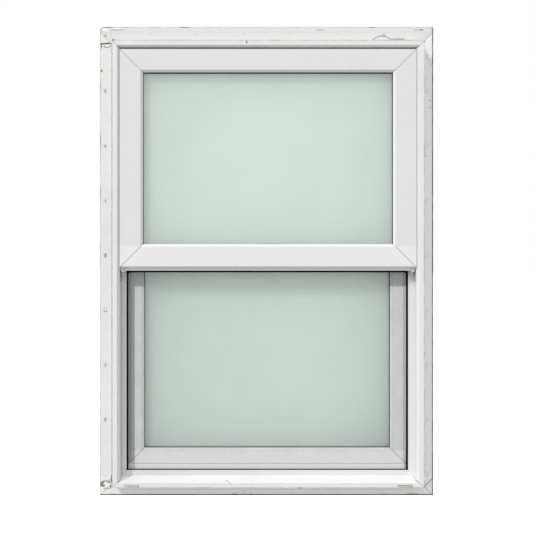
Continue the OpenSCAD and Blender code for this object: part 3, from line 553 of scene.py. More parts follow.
def frame_vinyl(settings):
    """White frame vinyl: dirty fins and seams, dark edges, welds, painted shade and light."""
    finish = Finish("frame vinyl", settings.white)
    x, y, z = axes(finish.position)
    wide, tall = abs(x), abs(z)
    on_fin, on_lip = y > -3 * MM, y < LIP_BACK
    grime = settings.grime

    finish.lay((0.58, 0.56, 0.52), finish.film(7.0, 0.2))
    recess_shading(finish, x, y, z)
    specks = smooth(finish.noise(150.0, 3.0, 0.6), 0.69, 0.74)
    finish.lay(grime, specks * on_fin * 0.45)
    beside = (tall < HALF_H + 4 * MM) * finish.lines(
        (x, LEFT_ROOT, 1.7, 0.6, 48.0), (x, RIGHT_ROOT, 1.7, 0.85, 48.0))
    above = (wide < HALF_W + 2 * MM) * finish.lines((z, HEAD_ROOT, 1.7, 0.8, 40.0))
    finish.lay(grime, most(beside, above) * on_fin * 0.6)
    finish.lay((0.42, 0.41, 0.39), finish.lines((z, FOLD_Z / MM, 1.0, 0.5, 30.0)) * 0.3)
    fin_tones(finish, x, z, on_fin)
    arris = finish.lines(
        (x, -HALF_W / MM, 1.3, 0.7, 48.0), (x, HALF_W / MM, 1.1, 0.95, 48.0),
        (z, HALF_H / MM, 1.2, 0.75, 48.0), (z, -HALF_H / MM, 1.0, 0.9, 36.0))
    finish.lay(grime, arris * on_lip * 0.6)
    # A dark line along the right and bottom outer edges of the fins.
    finish.lay(settings.edge_dark, finish.lines(
        (z, FOOT_EDGE / MM, 3.4, 0.10, 20.0), (x, RIGHT_EDGE / MM, 3.1, 0.25, 30.0)))
    finish.lay(grime, finish.lines(
        (z, TOP_EDGE / MM, 1.9, 0.85, 26.0), (x, LEFT_EDGE / MM, 2.0, 0.8, 26.0)) * 0.5)

    mitre = weld_line(wide - tall - (HALF_W - HALF_H), 0.8 * MM)
    weld = most(fin_mitres(x, z, on_fin), (1.0 - on_fin) * mitre)
    finish.lay((0.20, 0.195, 0.19), weld * 0.72)
    rim = finish.lines((weep_rim(x, z), 0.0, 1.0, 0.45, 70.0))
    finish.lay(grime, rim * on_lip * 0.9)
    finish.lay((0.93, 0.94, 0.93), finish.spots(WHITE_SPOTS, 0.7) * 0.9)
    finish.lay(grime, finish.spots(TAN_SPOTS, 1.2) * 0.45)
    groove = on_fin * between(y, -1.9 * MM, -0.5 * MM) * (x < -HALF_W) * smooth(
        finish.noise(210.0, 3.0, 0.6), 0.2, 0.45)
    brown = most(finish.spots(BROWN_SPOTS, 1.1) * most(on_fin, on_lip), groove)
    finish.lay(grime, brown * 0.85)
    return finish.vinyl(settings.roughness, most(brown, weld), brown)


def sash_weld(x, z, opening):
    """Weld lines of a sash, at 45 degrees from the corners of its opening."""
    low, high = opening
    wide = abs(x) - OPEN_HALF
    return most(*[weld_line(wide - side, 1.0 * MM) for side in (z - high, low - z)])


def bevel_shading(x, y, z, opening):
    """Sash bevels: those above and at the left for painted shade, the rest for painted light."""
    low, high = opening
    shaded_side = most(z - high, x * -1.0 - OPEN_HALF)
    lit_side = most(low - z, x - OPEN_HALF)
    bevel = between(most(shaded_side, lit_side), 0.0, BEVEL_W) * (y < FRONT_Y + 12 * MM)
    first = shaded_side > lit_side
    return bevel * first, bevel * (1.0 - first)


def upper_vinyl(settings):
    """Cool white vinyl of the upper sash, with painted shade on the nose under its rail."""
    finish = Finish("upper sash vinyl", settings.sash_white)
    x, y, z = axes(finish.position)
    finish.lay((0.60, 0.60, 0.58), finish.film(6.0, 0.14))
    rail = smooth(z, MEETING_HIGH.z, MEETING_HIGH.z - 8 * MM)
    finish.lay((0.86, 0.865, 0.865), rail * 0.7)
    # Painted shade on the nose under the meeting rail.
    nose = smooth(z, MEETING_LOW.z + 9 * MM, MEETING_LOW.z + 4 * MM)
    finish.lay((0.25, 0.25, 0.24), nose * smooth(y, -22 * MM, -27 * MM) * 0.9)
    # Painted shade on the top and left bevels, painted highlight on the bottom and right ones.
    shaded_side, lit_side = bevel_shading(x, y, z, UPPER_OPEN)
    finish.lay((0.38, 0.39, 0.39), shaded_side * 0.35)
    finish.lay((0.94, 0.95, 0.94), lit_side * 0.8)
    weld = sash_weld(x, z, UPPER_OPEN)
    finish.lay((0.17, 0.17, 0.17), weld * 0.75)
    return finish.vinyl(settings.roughness, weld)


def lower_vinyl(settings):
    """Dull grey vinyl of the lower sash, painted shadow at its left edge and under the rail."""
    finish = Finish("lower sash vinyl", settings.weathered)
    x, y, z = axes(finish.position)
    foot_z, top_z = LOWER_LOW.z, LOWER_HIGH.z
    finish.lay((0.45, 0.45, 0.45), finish.film(16.0, 0.5))
    finish.lay((0.76, 0.77, 0.77), finish.film(33.0, 0.35))
    rail = smooth(z, top_z - 2 * MM, top_z - 10 * MM)
    finish.lay((0.74, 0.75, 0.75), rail * 0.5)
    # Painted light on the set-back strip at the foot of the sash.
    foot = smooth(z, foot_z + 25 * MM, foot_z + 24 * MM)
    finish.lay((0.80, 0.80, 0.79), foot * 0.55)
    # Painted shadow at the left edge and under the meeting rail.
    beside = smooth(x, *LEFT_SHADOW) * smooth(
        z, foot_z + 22 * MM, foot_z + 30 * MM, 0.35, 1.0)
    rail_shadow = (y < LOWER_LOW.y + 14 * MM) * smooth(z, *RAIL_SHADOW, 0.0, 0.85)
    finish.lay((0.27, 0.28, 0.29), most(beside, rail_shadow) * 0.7)
    corner = finish.spots([(322, foot_z / MM + 20, 9, 48)], 0.9)
    finish.lay(settings.grime, corner * 0.45)
    crease = finish.lines((z, foot_z / MM + 24.8, 0.8, 0.7, 40.0),
                          (z, top_z / MM - 3, 0.8, 0.9, 40.0))
    finish.lay(settings.grime, crease * 0.3)
    weld = sash_weld(x, z, LOWER_OPEN)
    finish.lay((0.13, 0.13, 0.13), weld * 0.8)
    return finish.vinyl(0.55, weld)


def clear_glass(settings):
    """Clear green glass with dust and a thin cloudy film."""
    finish = Finish("clear outer glass", settings.tint)
    cloud = smooth(finish.noise(4.0, 5.0, 0.6, 0.3), 0.4, 0.75)
    dust = smooth(finish.noise(240.0, 2.0, 0.5), 0.70, 0.78)
    film = cloud * 0.12 + dust * 0.12
    finish.lay((0.80, 0.84, 0.80), film)
    return finish.done(alpha=0.10 + film * 0.3, roughness=0.05 + film)


def frosted_glass(settings, name, low, high, edge):
    """Frosted pane, darkened towards the edges by painted shade."""
    finish = Finish(name, settings.frost)
    x, _, z = axes(finish.position)
    centre, half = (low + high) / 2, (high - low) / 2
    across, along = abs(x - centre.x) / half.x, abs(z - centre.z) / half.z
    cloud = (finish.noise(5.0, 4.0, 0.5) - 0.5) * 0.22
    # Painted shade, darker towards the edges, with a faint cloudy haze.
    finish.lay(settings.film, ((across ** 3.5 + along ** 3.5) * edge + cloud).clamped())
    finish.relief(finish.noise(260.0, 2.0, 0.5), 0.15, 0.3 * MM)
    return finish.done(roughness=0.5, transmission_weight=0.5, ior=1.3)


def simple_finish(name, colour, other, roughness, metallic=0.0, scale=60.0, depth=0.2):
    """A small part's finish: two tones of one colour, uneven gloss and fine relief."""
    finish = Finish(name, colour)
    cloud = finish.noise(scale, 5.0, 0.6)
    finish.lay(other, smooth(cloud, 0.35, 0.7))
    finish.relief(finish.noise(scale * 12, 3.0, 0.5), depth, 0.3 * MM)
    gloss = (roughness + (cloud - 0.5) * 0.3).clamped()
    return finish.done(roughness=gloss, metallic=metallic)


def rubber_finish(name, colour, other, specular):
    """Dull black rubber with a low sheen and a dusty bloom."""
    finish = Finish(name, colour)
    cloud = finish.noise(70.0, 5.0, 0.6)
    finish.lay(other, smooth(cloud, 0.45, 0.8))
    finish.relief(finish.noise(800.0, 3.0, 0.5), 0.2, 0.3 * MM)
    return finish.done(roughness=0.6 + cloud * 0.3, specular_ior_level=specular)


# Tan stains in the left nail slots, as half sizes in mm, from the lowest slot up.
SLOT_STAINS = [(0.3, 0.3), (2.9, 5.2), (1.9, 4.6), (5.2, 6.4), (4.2, 5.6), (1.7, 4.3),
               (2.2, 3.4), (1.9, 4.6)]
TORN_SLOT = 3  # the slot whose stain has a bright core


def filler_finish(settings):
    """Dried sealant: pale, with tan stains where rusty water has soaked in."""
    finish = Finish("dried sealant", settings.white)
    x, _, z = axes(finish.position)
    slot_x = SLOT_X["left"] / MM
    heights = [height / MM for height in slot_heights()]
    cloud = finish.noise(120.0, 4.0, 0.6)
    finish.colour = (0.76, 0.77, 0.75)
    finish.lay((0.66, 0.65, 0.61), smooth(cloud, 0.4, 0.7))
    tan = [(slot_x, height, *half) for height, half in zip(heights, SLOT_STAINS)]
    finish.lay((0.42, 0.335, 0.245), finish.spots(tan, 0.9) * 0.85)
    core = (slot_x, heights[TORN_SLOT] + 1.0, 2.6, 3.2)
    finish.lay((0.88, 0.88, 0.86), finish.spots([core], 0.8))
    plain = most(x > HALF_W, z < -420 * MM)
    finish.lay((0.86, 0.865, 0.85), plain * 0.85)
    finish.relief(cloud, 0.5, 0.6 * MM)
    return finish.done(roughness=0.55 + cloud * 0.3)


# ---- modelling helpers --------------------------------------------------------------

def only(piece):
    """Makes a piece the one that is active and selected."""
    bpy.ops.object.select_all(action="DESELECT")
    piece.select_set(True)
    bpy.context.view_layer.objects.active = piece


def added():
    """The primitive just added, alone and in its own mesh."""
    piece = bpy.context.object
    only(piece)
    return piece


def edit(piece, kind, test):
    """Opens a piece in edit mode with the vertices, edges or faces that pass a test."""
    mesh = piece.data
    for group in (mesh.vertices, mesh.edges, mesh.polygons):
        group.foreach_set("select", [False] * len(group))
    parts_of = {
        "VERT": lambda: [(item, item.co) for item in mesh.vertices],
        "EDGE": lambda: [(item, [mesh.vertices[end].co for end in item.vertices])
                         for item in mesh.edges],
        "FACE": lambda: [(item, item) for item in mesh.polygons]}
    for item, told in parts_of[kind]():
        item.select = test(told)
    bpy.context.tool_settings.mesh_select_mode = (kind == "VERT", kind == "EDGE", kind == "FACE")
    bpy.ops.object.mode_set(mode="EDIT")


def leave():
    """Ends edit mode."""
    bpy.ops.object.mode_set(mode="OBJECT")


def settle(piece):
    """Moves the place, turn and size of a piece into its mesh."""
    only(piece)
    bpy.ops.object.transform_apply(location=True, rotation=True, scale=True)


def join(pieces, name):
    """One object from several."""
    bpy.ops.object.select_all(action="DESELECT")
    for piece in pieces:
        piece.select_set(True)
    bpy.context.view_layer.objects.active = pieces[0]
    bpy.ops.object.join()
    pieces[0].name = name
    return pieces[0]


def copy_of(piece, place):
    """A copy with its own mesh, moved by place."""
    twin = piece.copy()
    twin.data = piece.data.copy()
    bpy.context.collection.objects.link(twin)
    only(twin)
    bpy.ops.transform.translate(value=place)
    return twin


def apply_all(piece):
    """Applies every modifier of a piece."""
    only(piece)
    for modifier in list(piece.modifiers):
        bpy.ops.object.modifier_apply(modifier=modifier.name)


def soften(piece, width, segments, angle):
    """Rounds the edges of a piece that turn by more than an angle in degrees."""
    soft = piece.modifiers.new("Round", "BEVEL")
    soft.width = width
    soft.segments = segments
    soft.limit_method = "ANGLE"
    soft.angle_limit = math.radians(angle)
    apply_all(piece)


def hand_over(piece, material, body, slot, *replaced):
    """Finishes a piece: its place, outward faces, material and body; slot is not used."""
    settle(piece)
    edit(piece, "FACE", lambda face: True)
    bpy.ops.mesh.normals_make_consistent(inside=False)
    leave()
    piece.data.materials.clear()
    piece.data.materials.append(material)
    bpy.ops.object.shade_smooth_by_angle(angle=math.radians(35))
    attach(piece, body)
    if replaced:
        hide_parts(*replaced)


# ---- finishes of the CAD nodes ------------------------------------------------------

class WINDOW_OT_vinyl(bpy.types.Operator):
    """Finish the extruded vinyl members of the frame and of both sashes"""

    bl_idname = "window.vinyl"
    bl_label = "Vinyl Finishes"

    def execute(self, context):
        settings = context.scene.window_vinyl
        dress(nodes_with("frame_", "weep_cover", "sash_clip"), frame_vinyl(settings))
        dress(sash_members("upper_"), upper_vinyl(settings))
        dress(sash_members("lower_"), lower_vinyl(settings))
        return {"FINISHED"}


class WINDOW_OT_glazing(bpy.types.Operator):
    """Finish the panes, spacers and seals of both glazing units"""

    bl_idname = "window.glazing"
    bl_label = "Glazing"

    def execute(self, context):
        settings = context.scene.window_glass
        dress(nodes_with("outer_pane"), clear_glass(settings))
        # edge sets how strong the painted shade is towards the edges of each frosted pane.
        for name, edge in (("upper", 0.30), ("lower", 0.47)):
            dress([name + "_inner_pane"], frosted_glass(
                settings, name + " frosted glass", *span(name + "_inner_pane"), edge))
        dress(nodes_with("spacer"), simple_finish(
            "mill aluminium", (0.52, 0.53, 0.54), (0.42, 0.43, 0.44), 0.38, 1.0, 90.0))
        dress(nodes_with("glazing_seal"), rubber_finish(
            "glazing seal", (0.032, 0.046, 0.042), (0.08, 0.10, 0.09), 0.2))
        dress(nodes_with("opening_seal", "bulb_seal", "setting_blocks"), rubber_finish(
            "black rubber", (0.004, 0.004, 0.004), (0.012, 0.011, 0.010), 0.08))
        return {"FINISHED"}


class WINDOW_OT_hardware(bpy.types.Operator):
    """Finish the tubes and the moulded parts of the balances"""

    bl_idname = "window.hardware"
    bl_label = "Balance Finishes"

    def execute(self, context):
        dress(nodes_with("balance_tube"), simple_finish(
            "drawn aluminium", (0.70, 0.71, 0.72), (0.58, 0.59, 0.60), 0.3, 1.0, 40.0))
        dress(nodes_with("bushing", "balance_foot"), simple_finish(
            "white nylon", (0.78, 0.78, 0.75), (0.70, 0.70, 0.66), 0.5))
        return {"FINISHED"}


# ---- new pieces ---------------------------------------------------------------------

class WINDOW_OT_fillers(bpy.types.Operator):
    """Model the dried sealant in the nail slots and nail holes"""

    bl_idname = "window.fillers"
    bl_label = "Nail Hole Sealant"

    def plug(self, radius, reach, crown):
        """One plug at the origin; reach is how far its ends are drawn apart."""
        bpy.ops.mesh.primitive_cylinder_add(
            vertices=20, radius=radius, depth=1.5 * MM, rotation=(QUARTER, 0, 0))
        piece = added()
        bpy.ops.object.transform_apply(rotation=True)
        for side in (1, -1):
            edit(piece, "VERT", lambda spot: spot.z * side > 0.2 * MM)
            bpy.ops.transform.translate(value=(0, 0, side * reach))
            leave()
        edit(piece, "FACE", lambda face: face.normal.y < -0.9)
        bpy.ops.mesh.inset(thickness=1.1 * MM, depth=crown)
        bpy.ops.mesh.inset(thickness=1.0 * MM, depth=crown / 2)
        bpy.ops.mesh.select_more()
        bpy.ops.transform.vertex_random(offset=0.12 * MM, seed=4)
        leave()
        return piece

    def execute(self, context):
        finish = filler_finish(context.scene.window_vinyl)
        middle = FIN_Y / 2
        slot = self.plug(3.75 * MM, 1.75 * MM, 0.2 * MM)
        hole = self.plug(3.75 * MM, 0.0, -0.35 * MM)
        for name, x in SLOT_X.items():
            pieces = [copy_of(slot, (x, middle, z)) for z in slot_heights()]
            hand_over(join(pieces, "slot_sealant_" + name), finish, "frame", "vinyl")
        for name, z in (("head", NAIL_Z), ("sill", -NAIL_Z)):
            pieces = [copy_of(hole, ((step - 2.5) * HOLE_PITCH, middle, z)) for step in range(6)]
            hand_over(join(pieces, "hole_sealant_" + name), finish, "frame", "vinyl")
        for piece in (slot, hole):
            bpy.data.objects.remove(piece)
        return {"FINISHED"}


# Cracks and scratches, as points (x, z) in mm on the face of the fins or of the lip.
FIN_CRACKS = {
    "head_crack": [(239, 508.6), (247, 514.2), (253.5, 517.0), (261, 518.2), (268.5, 516.8),
                   (275, 513.4), (281.5, 510.4), (288, 509.0), (300, 509.3), (311, 510.4)],
    "foot_crack": [(374.5, -489.2), (369, -494.6), (362.5, -501.2), (357, -506.8)],
    "flap_crack": [(-372.6, 495.2), (-367.8, 491.8), (-363.4, 491.3), (-358.6, 493.0),
                   (-355.8, 496.0)],
}
FIN_HAIRLINES = {
    "side_crack": [(359.0, 475.7), (361.9, 470.0), (365.4, 465.4), (368.1, 460.9),
                   (371.3, 452.9), (372.9, 449.5)],
}
LIP_SCRATCHES = {
    "sill_scratch": [(-96.5, -482.8), (-90.5, -484.6), (-85.5, -488.4), (-82, -493.2)],
    "head_scratch": [(-51.2, 493.8), (-49, 495.2), (-47.4, 497.4), (-46.4, 499.2)],
}


class WINDOW_OT_cracks(bpy.types.Operator):
    """Model the open cracks and scratches as thin ridges of packed dirt"""

    bl_idname = "window.cracks"
    bl_label = "Cracks"

    def execute(self, context):
        finish = simple_finish("crack dirt", context.scene.window_vinyl.grime,
                               (0.36, 0.29, 0.22), 0.8, 0.0, 160.0, 0.5)
        width = context.scene.window_hardware.crack_width
        for rows, y, size in ((FIN_CRACKS, FIN_Y, width), (FIN_HAIRLINES, FIN_Y, width * 0.45),
                              (LIP_SCRATCHES, FRONT_Y, width * 0.6)):
            for name, points in rows.items():
                hand_over(thread(name, points, y, size), finish, "frame", "vinyl")
        return {"FINISHED"}


def thread(name, points, y, width):
    """A thin round ridge along points, half sunk in the face at depth y."""
    bpy.ops.mesh.primitive_plane_add(size=width)
    piece = added()
    edit(piece, "VERT", lambda spot: True)
    bpy.ops.mesh.merge(type="CENTER")
    bpy.ops.transform.translate(value=(points[0][0] * MM, y, points[0][1] * MM))
    for start, end in zip(points, points[1:]):
        step = ((end[0] - start[0]) * MM, 0, (end[1] - start[1]) * MM)
        bpy.ops.mesh.extrude_region_move(TRANSFORM_OT_translate={"value": step})
    leave()
    bpy.ops.object.convert(target="CURVE")
    piece = bpy.context.object
    piece.data.bevel_depth = width / 2
    piece.data.bevel_resolution = 1
    piece.data.use_fill_caps = True
    bpy.ops.object.convert(target="MESH")
    piece = bpy.context.object
    edit(piece, "VERT", lambda spot: True)
    bpy.ops.mesh.remove_doubles(threshold=0.01 * MM)
    bpy.ops.mesh.normals_make_consistent(inside=False)
    leave()
    piece.name = name
    return piece


class WINDOW_OT_pile(bpy.types.Operator):
    """Model the pile strips: a woven backing with two rows of tufts"""

    bl_idname = "window.pile"
    bl_label = "Pile Strips"

    def strip(self, node, along, finish):
        """Backing and tufts of one strip, which runs along axis 0 or 2."""
        low, high = span(node)
        centre = (low + high) / 2
        size = high - low
        backing_y = high.y - 0.7 * MM
        bpy.ops.mesh.primitive_cube_add(
            size=1, location=(centre.x, (backing_y + high.y) / 2, centre.z),
            scale=(size.x, high.y - backing_y, size.z))
        backing = added()
        bpy.ops.object.transform_apply(scale=True)
        backing.modifiers.new("Edge", "BEVEL").width = 0.25 * MM
        apply_all(backing)
        settle(backing)
        pieces = [backing]
        pitch = bpy.context.scene.window_hardware.tuft_pitch
        length, width = size[along], size[2 - along]
        for row, offset in ((0, -0.22), (1, 0.22)):
            start = Vector(low)
            start[along] += pitch * (0.6 + 0.5 * row)
            start[2 - along] = centre[2 - along] + offset * width
            depth = backing_y - low.y
            bpy.ops.mesh.primitive_cone_add(
                vertices=5, radius1=0.34 * width / 2, radius2=0.16 * width / 2, depth=depth,
                location=(start.x, low.y + depth / 2, start.z), rotation=(QUARTER, 0, 0))
            tuft = added()
            bpy.ops.object.transform_apply(rotation=True)
            edit(tuft, "FACE", lambda face: face.normal.y < -0.9)
            bpy.ops.mesh.poke(offset=0.15 * MM)
            leave()
            array = tuft.modifiers.new("Row", "ARRAY")
            array.use_relative_offset = False
            array.use_constant_offset = True
            step = [0.0, 0.0, 0.0]
            step[along] = pitch
            array.constant_offset_displace = step
            array.count = int((length - pitch * 1.6) / pitch)
            apply_all(tuft)
            settle(tuft)
            pieces.append(tuft)
        hand_over(join(pieces, node + "_tufts"), finish, "lower_sash", "pile", node)

    def execute(self, context):
        finish = simple_finish("grey pile", (0.20, 0.205, 0.21), (0.30, 0.305, 0.31),
                               0.95, 0.0, 500.0, 0.8)
        for node, along in (("lower_pile_left", 2), ("lower_pile_right", 2),
                            ("meeting_rail_pile", 0)):
            self.strip(node, along, finish)
        return {"FINISHED"}


POINT_ROOM = 1.9 * MM  # left below the shank of a lock screw for its point


class WINDOW_OT_screws(bpy.types.Operator):
    """Model the screws with round heads and cross recesses"""

    bl_idname = "window.screws"
    bl_label = "Screws"

    def screw(self, head_r, head_t, shank_r, length):
        """A screw along +Z, with the seat of its head at the origin."""
        bpy.ops.mesh.primitive_cylinder_add(
            vertices=32, radius=head_r, depth=head_t, location=(0, 0, head_t / 2))
        piece = added()
        settle(piece)
        edit(piece, "FACE", lambda face: face.normal.z > 0.9)
        bpy.ops.mesh.inset(thickness=head_r * 0.28, depth=0)
        leave()
        edit(piece, "EDGE", lambda ends: all(
            abs(end.z - head_t) < 1e-6 and end.xy.length > head_r * 0.99 for end in ends))
        bpy.ops.mesh.bevel(offset=head_t * 0.42, segments=4)
        leave()
        for wide, deep in ((0.16, 0.62), (0.62, 0.16)):
            bpy.ops.mesh.primitive_cube_add(
                size=1, location=(0, 0, head_t), scale=(
                    2 * wide * head_r, 2 * deep * head_r, head_t * 1.1))
            cutter = added()
            settle(cutter)
            edit(cutter, "FACE", lambda face: face.normal.z < -0.9)
            bpy.ops.transform.resize(value=(0.7, 0.7, 1))
            leave()
            cut = piece.modifiers.new("Recess", "BOOLEAN")
            cut.operation = "DIFFERENCE"
            cut.object = cutter
            apply_all(piece)
            bpy.data.objects.remove(cutter)
        bpy.ops.mesh.primitive_cylinder_add(
            vertices=20, radius=shank_r, depth=length, location=(0, 0, -length / 2))
        shank = added()
        settle(shank)
        edit(shank, "FACE", lambda face: face.normal.z < -0.9)
        bpy.ops.mesh.extrude_region_move(TRANSFORM_OT_translate={"value": (0, 0, -shank_r)})
        bpy.ops.transform.resize(value=(0.15, 0.15, 1))
        leave()
        return join([piece, shank], "screw")

    def execute(self, context):
        steel = simple_finish("zinc plate", (0.62, 0.63, 0.62), (0.45, 0.45, 0.43),
                              0.32, 1.0, 120.0)
        for node, body, spread, head_t, shank_r in (
                ("lock_screws", "lower_sash", 27.5 * MM, 2.2 * MM, 2.0 * MM),
                ("keeper_screws", "frame", 29.0 * MM, 2.0 * MM, 1.8 * MM)):
            low, high = span(node)
            seat = high.z - head_t
            head_r = (high.x - low.x) / 2 - spread
            first = self.screw(head_r, head_t, shank_r, seat - low.z - POINT_ROOM)
            y = (low.y + high.y) / 2
            twin = copy_of(first, (spread, y, seat))
            only(first)
            bpy.ops.transform.translate(value=(-spread, y, seat))
            hand_over(join([first, twin], node + "_cross"), steel, body, "steel", node)
        for side, turn in (("left", 1), ("right", -1)):
            node = "balance_screw_" + side
            low, high = span(node)
            head_t, shank_r = 2.4 * MM, 2.0 * MM
            piece = self.screw(3.8 * MM, head_t, shank_r, high.x - low.x - head_t - shank_r)
            piece.rotation_euler = (0, turn * QUARTER, 0)
            inner = high.x if turn > 0 else low.x
            piece.location = (inner - turn * head_t, (low.y + high.y) / 2, (low.z + high.z) / 2)
            piece.name = node + "_cross"
            hand_over(piece, steel, "frame", "steel", node)
        return {"FINISHED"}


ROD_W, ROD_T, ROD_EDGE = 4.4 * MM, 1.15 * MM, 0.3 * MM
ROD_PITCH = 40 * MM  # length of one full turn of the twist
ROD_CUTS = 207


class WINDOW_OT_rods(bpy.types.Operator):
    """Model the smooth twisted rods of the balances"""

    bl_idname = "window.rods"
    bl_label = "Balance Rods"

    def execute(self, context):
        steel = simple_finish("bright steel strip", (0.60, 0.61, 0.62), (0.46, 0.47, 0.48),
                              0.28, 1.0, 60.0)
        for side, turn in (("left", -1), ("right", 1)):
            node = "balance_rod_" + side
            low, high = span(node)
            height = high.z - low.z
            bpy.ops.mesh.primitive_cube_add(
                size=1, location=(low + high) / 2, scale=(ROD_W, ROD_T, height))
            piece = added()

            def upright(ends):
                return abs(ends[0].z - ends[1].z) > height / 2

            bpy.ops.object.transform_apply(location=False, rotation=False, scale=True)
            edit(piece, "EDGE", upright)
            bpy.ops.mesh.bevel(offset=ROD_EDGE, segments=1)
            leave()
            edit(piece, "EDGE", upright)
            bpy.ops.mesh.subdivide(number_cuts=ROD_CUTS)
            leave()
            twist = piece.modifiers.new("Twist", "SIMPLE_DEFORM")
            twist.deform_method = "TWIST"
            twist.deform_axis = "Z"
            twist.angle = turn * 2 * math.pi * height / ROD_PITCH
            apply_all(piece)
            piece.name = node + "_strip"
            hand_over(piece, steel, "lower_sash", "steel", node)
        return {"FINISHED"}


class WINDOW_OT_lock(bpy.types.Operator):
    """Model the cast parts of the lock with rounded edges and a drawn-out handle"""

    bl_idname = "window.lock"
    bl_label = "Lock"

    def rounded(self, node, body, slot, finish, width):
        """A rounded copy of a CAD node, cleaned of its triangle edges first."""
        source = frame["nodes"][node]
        piece = source.copy()
        piece.data = source.data.copy()
        piece.name = node + "_cast"
        bpy.context.collection.objects.link(piece)
        only(piece)
        edit(piece, "VERT", lambda spot: True)
        bpy.ops.mesh.remove_doubles(threshold=0.01 * MM)
        bpy.ops.mesh.dissolve_limited(angle_limit=math.radians(1))
        leave()
        soften(piece, width, 3, 35)
        hand_over(piece, finish, body, slot, node)

    def handle(self, finish):
        """Hub and lever, the lever drawn out in steps and narrowed at its tip."""
        low, high = span("lock_handle")
        thick = high.z - low.z
        hub_r = (high.x - low.x) / 2
        centre = Vector(((low.x + high.x) / 2, low.y + hub_r, low.z))
        bpy.ops.mesh.primitive_cylinder_add(
            vertices=24, radius=hub_r, depth=thick, location=centre + Vector((0, 0, thick / 2)))
        piece = added()
        settle(piece)
        edit(piece, "FACE", lambda face: face.normal.y > 0.92 and abs(face.normal.z) < 0.1)
        reach = high.y - (centre.y + hub_r)
        for part, narrow in ((0.25, 0.82), (0.35, 0.94), (0.25, 1.12), (0.15, 0.6)):
            bpy.ops.mesh.extrude_region_move(TRANSFORM_OT_translate={
                "value": (0, reach * part, 0)})
            bpy.ops.transform.resize(value=(narrow, 0.2, 1.0))
        leave()
        soften(piece, 1.1 * MM, 4, 40)
        piece.name = "lock_handle_lever"
        hand_over(piece, finish, "lock", "lock_paint", "lock_handle")

    def execute(self, context):
        enamel = simple_finish("white enamel", (0.80, 0.80, 0.77), (0.72, 0.72, 0.69), 0.28)
        rivet = simple_finish("rivet steel", (0.58, 0.59, 0.60), (0.44, 0.45, 0.46),
                              0.34, 1.0, 120.0)
        width = context.scene.window_hardware.corner_round
        for node, body in (("lock_keeper", "frame"), ("lock_housing", "lower_sash"),
                           ("lock_cam", "lock")):
            self.rounded(node, body, "lock_paint", enamel, width)
        self.rounded("lock_pin", "lower_sash", "steel", rivet, width * 0.6)
        self.handle(enamel)
        return {"FINISHED"}


# ---- stage --------------------------------------------------------------------------

FLOOR_SIZE = 40.0
FLOOR_GLOW = 0.9  # keeps the floor pale to the camera, without lighting the window
LIGHT_WAY = Vector((0.95, 1.0, -1.25))
CAMERA_X, CAMERA_Z = -0.1189, 0.0607
CAMERA_LENS, CAMERA_SHIFT = 60.39, (0.0966, -0.0553)


def camera_ray(tree):
    """1 on what the camera sees itself, and 0 in bounced light."""
    return Wire(tree.nodes.new("ShaderNodeLightPath").outputs["Is Camera Ray"])


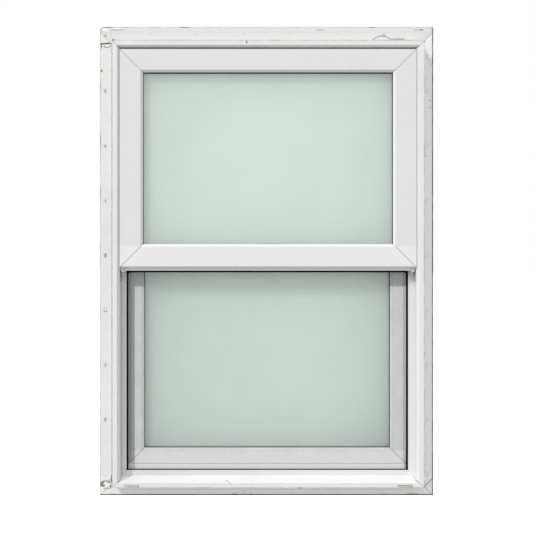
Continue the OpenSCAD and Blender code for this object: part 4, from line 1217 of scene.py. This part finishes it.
class WINDOW_OT_stage(bpy.types.Operator):
    """Set the floor, the light and the camera"""

    bl_idname = "window.stage"
    bl_label = "Stage"

    def execute(self, context):
        settings = context.scene.window_stage
        scene = context.scene
        scene.view_settings.view_transform = "Standard"
        self.floor(settings)
        self.world(scene, settings)
        self.key_light(settings)
        self.camera(scene, settings)
        return {"FINISHED"}

    def floor(self, settings):
        """A pale floor well below the sill."""
        bpy.ops.mesh.primitive_plane_add(
            size=FLOOR_SIZE, location=(0, 0, FOOT_EDGE - settings.floor_drop))
        floor = bpy.context.object
        floor.name = "floor"
        finish = Finish("pale floor", (0.9, 0.9, 0.9))
        finish.colour = (0.4, 0.4, 0.4)
        glow = camera_ray(finish.material.node_tree) * FLOOR_GLOW
        floor.data.materials.append(finish.done(
            roughness=0.9, emission_color=(1, 1, 1), emission_strength=glow))

    def world(self, scene, settings):
        """Soft light from all round, weaker from straight ahead of the window."""
        world = bpy.data.worlds.new("studio")
        world.use_nodes = True
        scene.world = world
        tree = world.node_tree
        background = tree.nodes["Background"].inputs
        background["Color"].default_value = (1, 1, 1, 1)
        _, y, _ = axes(Wire(tree.nodes.new("ShaderNodeTexCoord").outputs["Generated"]))
        ahead = most(y * -1.0, 0.0) ** 1.5
        fill = settings.side_fill + ahead * (settings.front_fill - settings.side_fill)
        seen = camera_ray(tree)
        feed(background["Strength"], fill * (1.0 - seen) + seen)

    def key_light(self, settings):
        """One firm light from above and from the left."""
        bpy.ops.object.light_add(type="SUN", location=(-2, -3, 3))
        sun = bpy.context.object
        sun.name = "key"
        sun.data.energy = settings.sun
        sun.data.angle = math.radians(2.5)
        sun.rotation_euler = LIGHT_WAY.to_track_quat("-Z", "Y").to_euler()

    def camera(self, scene, settings):
        """The camera, square to the window."""
        bpy.ops.object.camera_add(
            location=(CAMERA_X, FRONT_Y - settings.distance, CAMERA_Z), rotation=(QUARTER, 0, 0))
        camera = bpy.context.object
        camera.name = "camera"
        camera.data.lens = CAMERA_LENS
        camera.data.sensor_width = 36
        camera.data.shift_x, camera.data.shift_y = CAMERA_SHIFT
        scene.camera = camera


class WINDOW_PT_panel(bpy.types.Panel):
    """Lists the settings and the steps of the window"""

    bl_label = "Sash Window"
    bl_space_type = "VIEW_3D"
    bl_region_type = "UI"
    bl_category = "Window"

    def draw(self, context):
        for group in SETTINGS:
            settings = getattr(context.scene, SETTINGS[group])
            box = self.layout.box()
            box.label(text=group.__doc__)
            for name in group.__annotations__:
                box.prop(settings, name)
        for operator in STEPS:
            self.layout.operator(operator.bl_idname)


SETTINGS = {VinylSettings: "window_vinyl", GlassSettings: "window_glass",
            HardwareSettings: "window_hardware", StageSettings: "window_stage"}
STEPS = (WINDOW_OT_vinyl, WINDOW_OT_glazing, WINDOW_OT_hardware, WINDOW_OT_fillers,
         WINDOW_OT_cracks, WINDOW_OT_pile, WINDOW_OT_screws, WINDOW_OT_rods, WINDOW_OT_lock,
         WINDOW_OT_stage)


def register():
    for group, name in SETTINGS.items():
        bpy.utils.register_class(group)
        setattr(bpy.types.Scene, name, PointerProperty(type=group))
    for operator in STEPS:
        bpy.utils.register_class(operator)
    bpy.utils.register_class(WINDOW_PT_panel)


def unregister():
    bpy.utils.unregister_class(WINDOW_PT_panel)
    for operator in reversed(STEPS):
        bpy.utils.unregister_class(operator)
    for group, name in SETTINGS.items():
        delattr(bpy.types.Scene, name)
        bpy.utils.unregister_class(group)


def main():
    """Makes everything in order."""
    register()
    for operator in STEPS:
        area, name = operator.bl_idname.split(".")
        getattr(getattr(bpy.ops, area), name)()


if __name__ == "__main__":
    main()
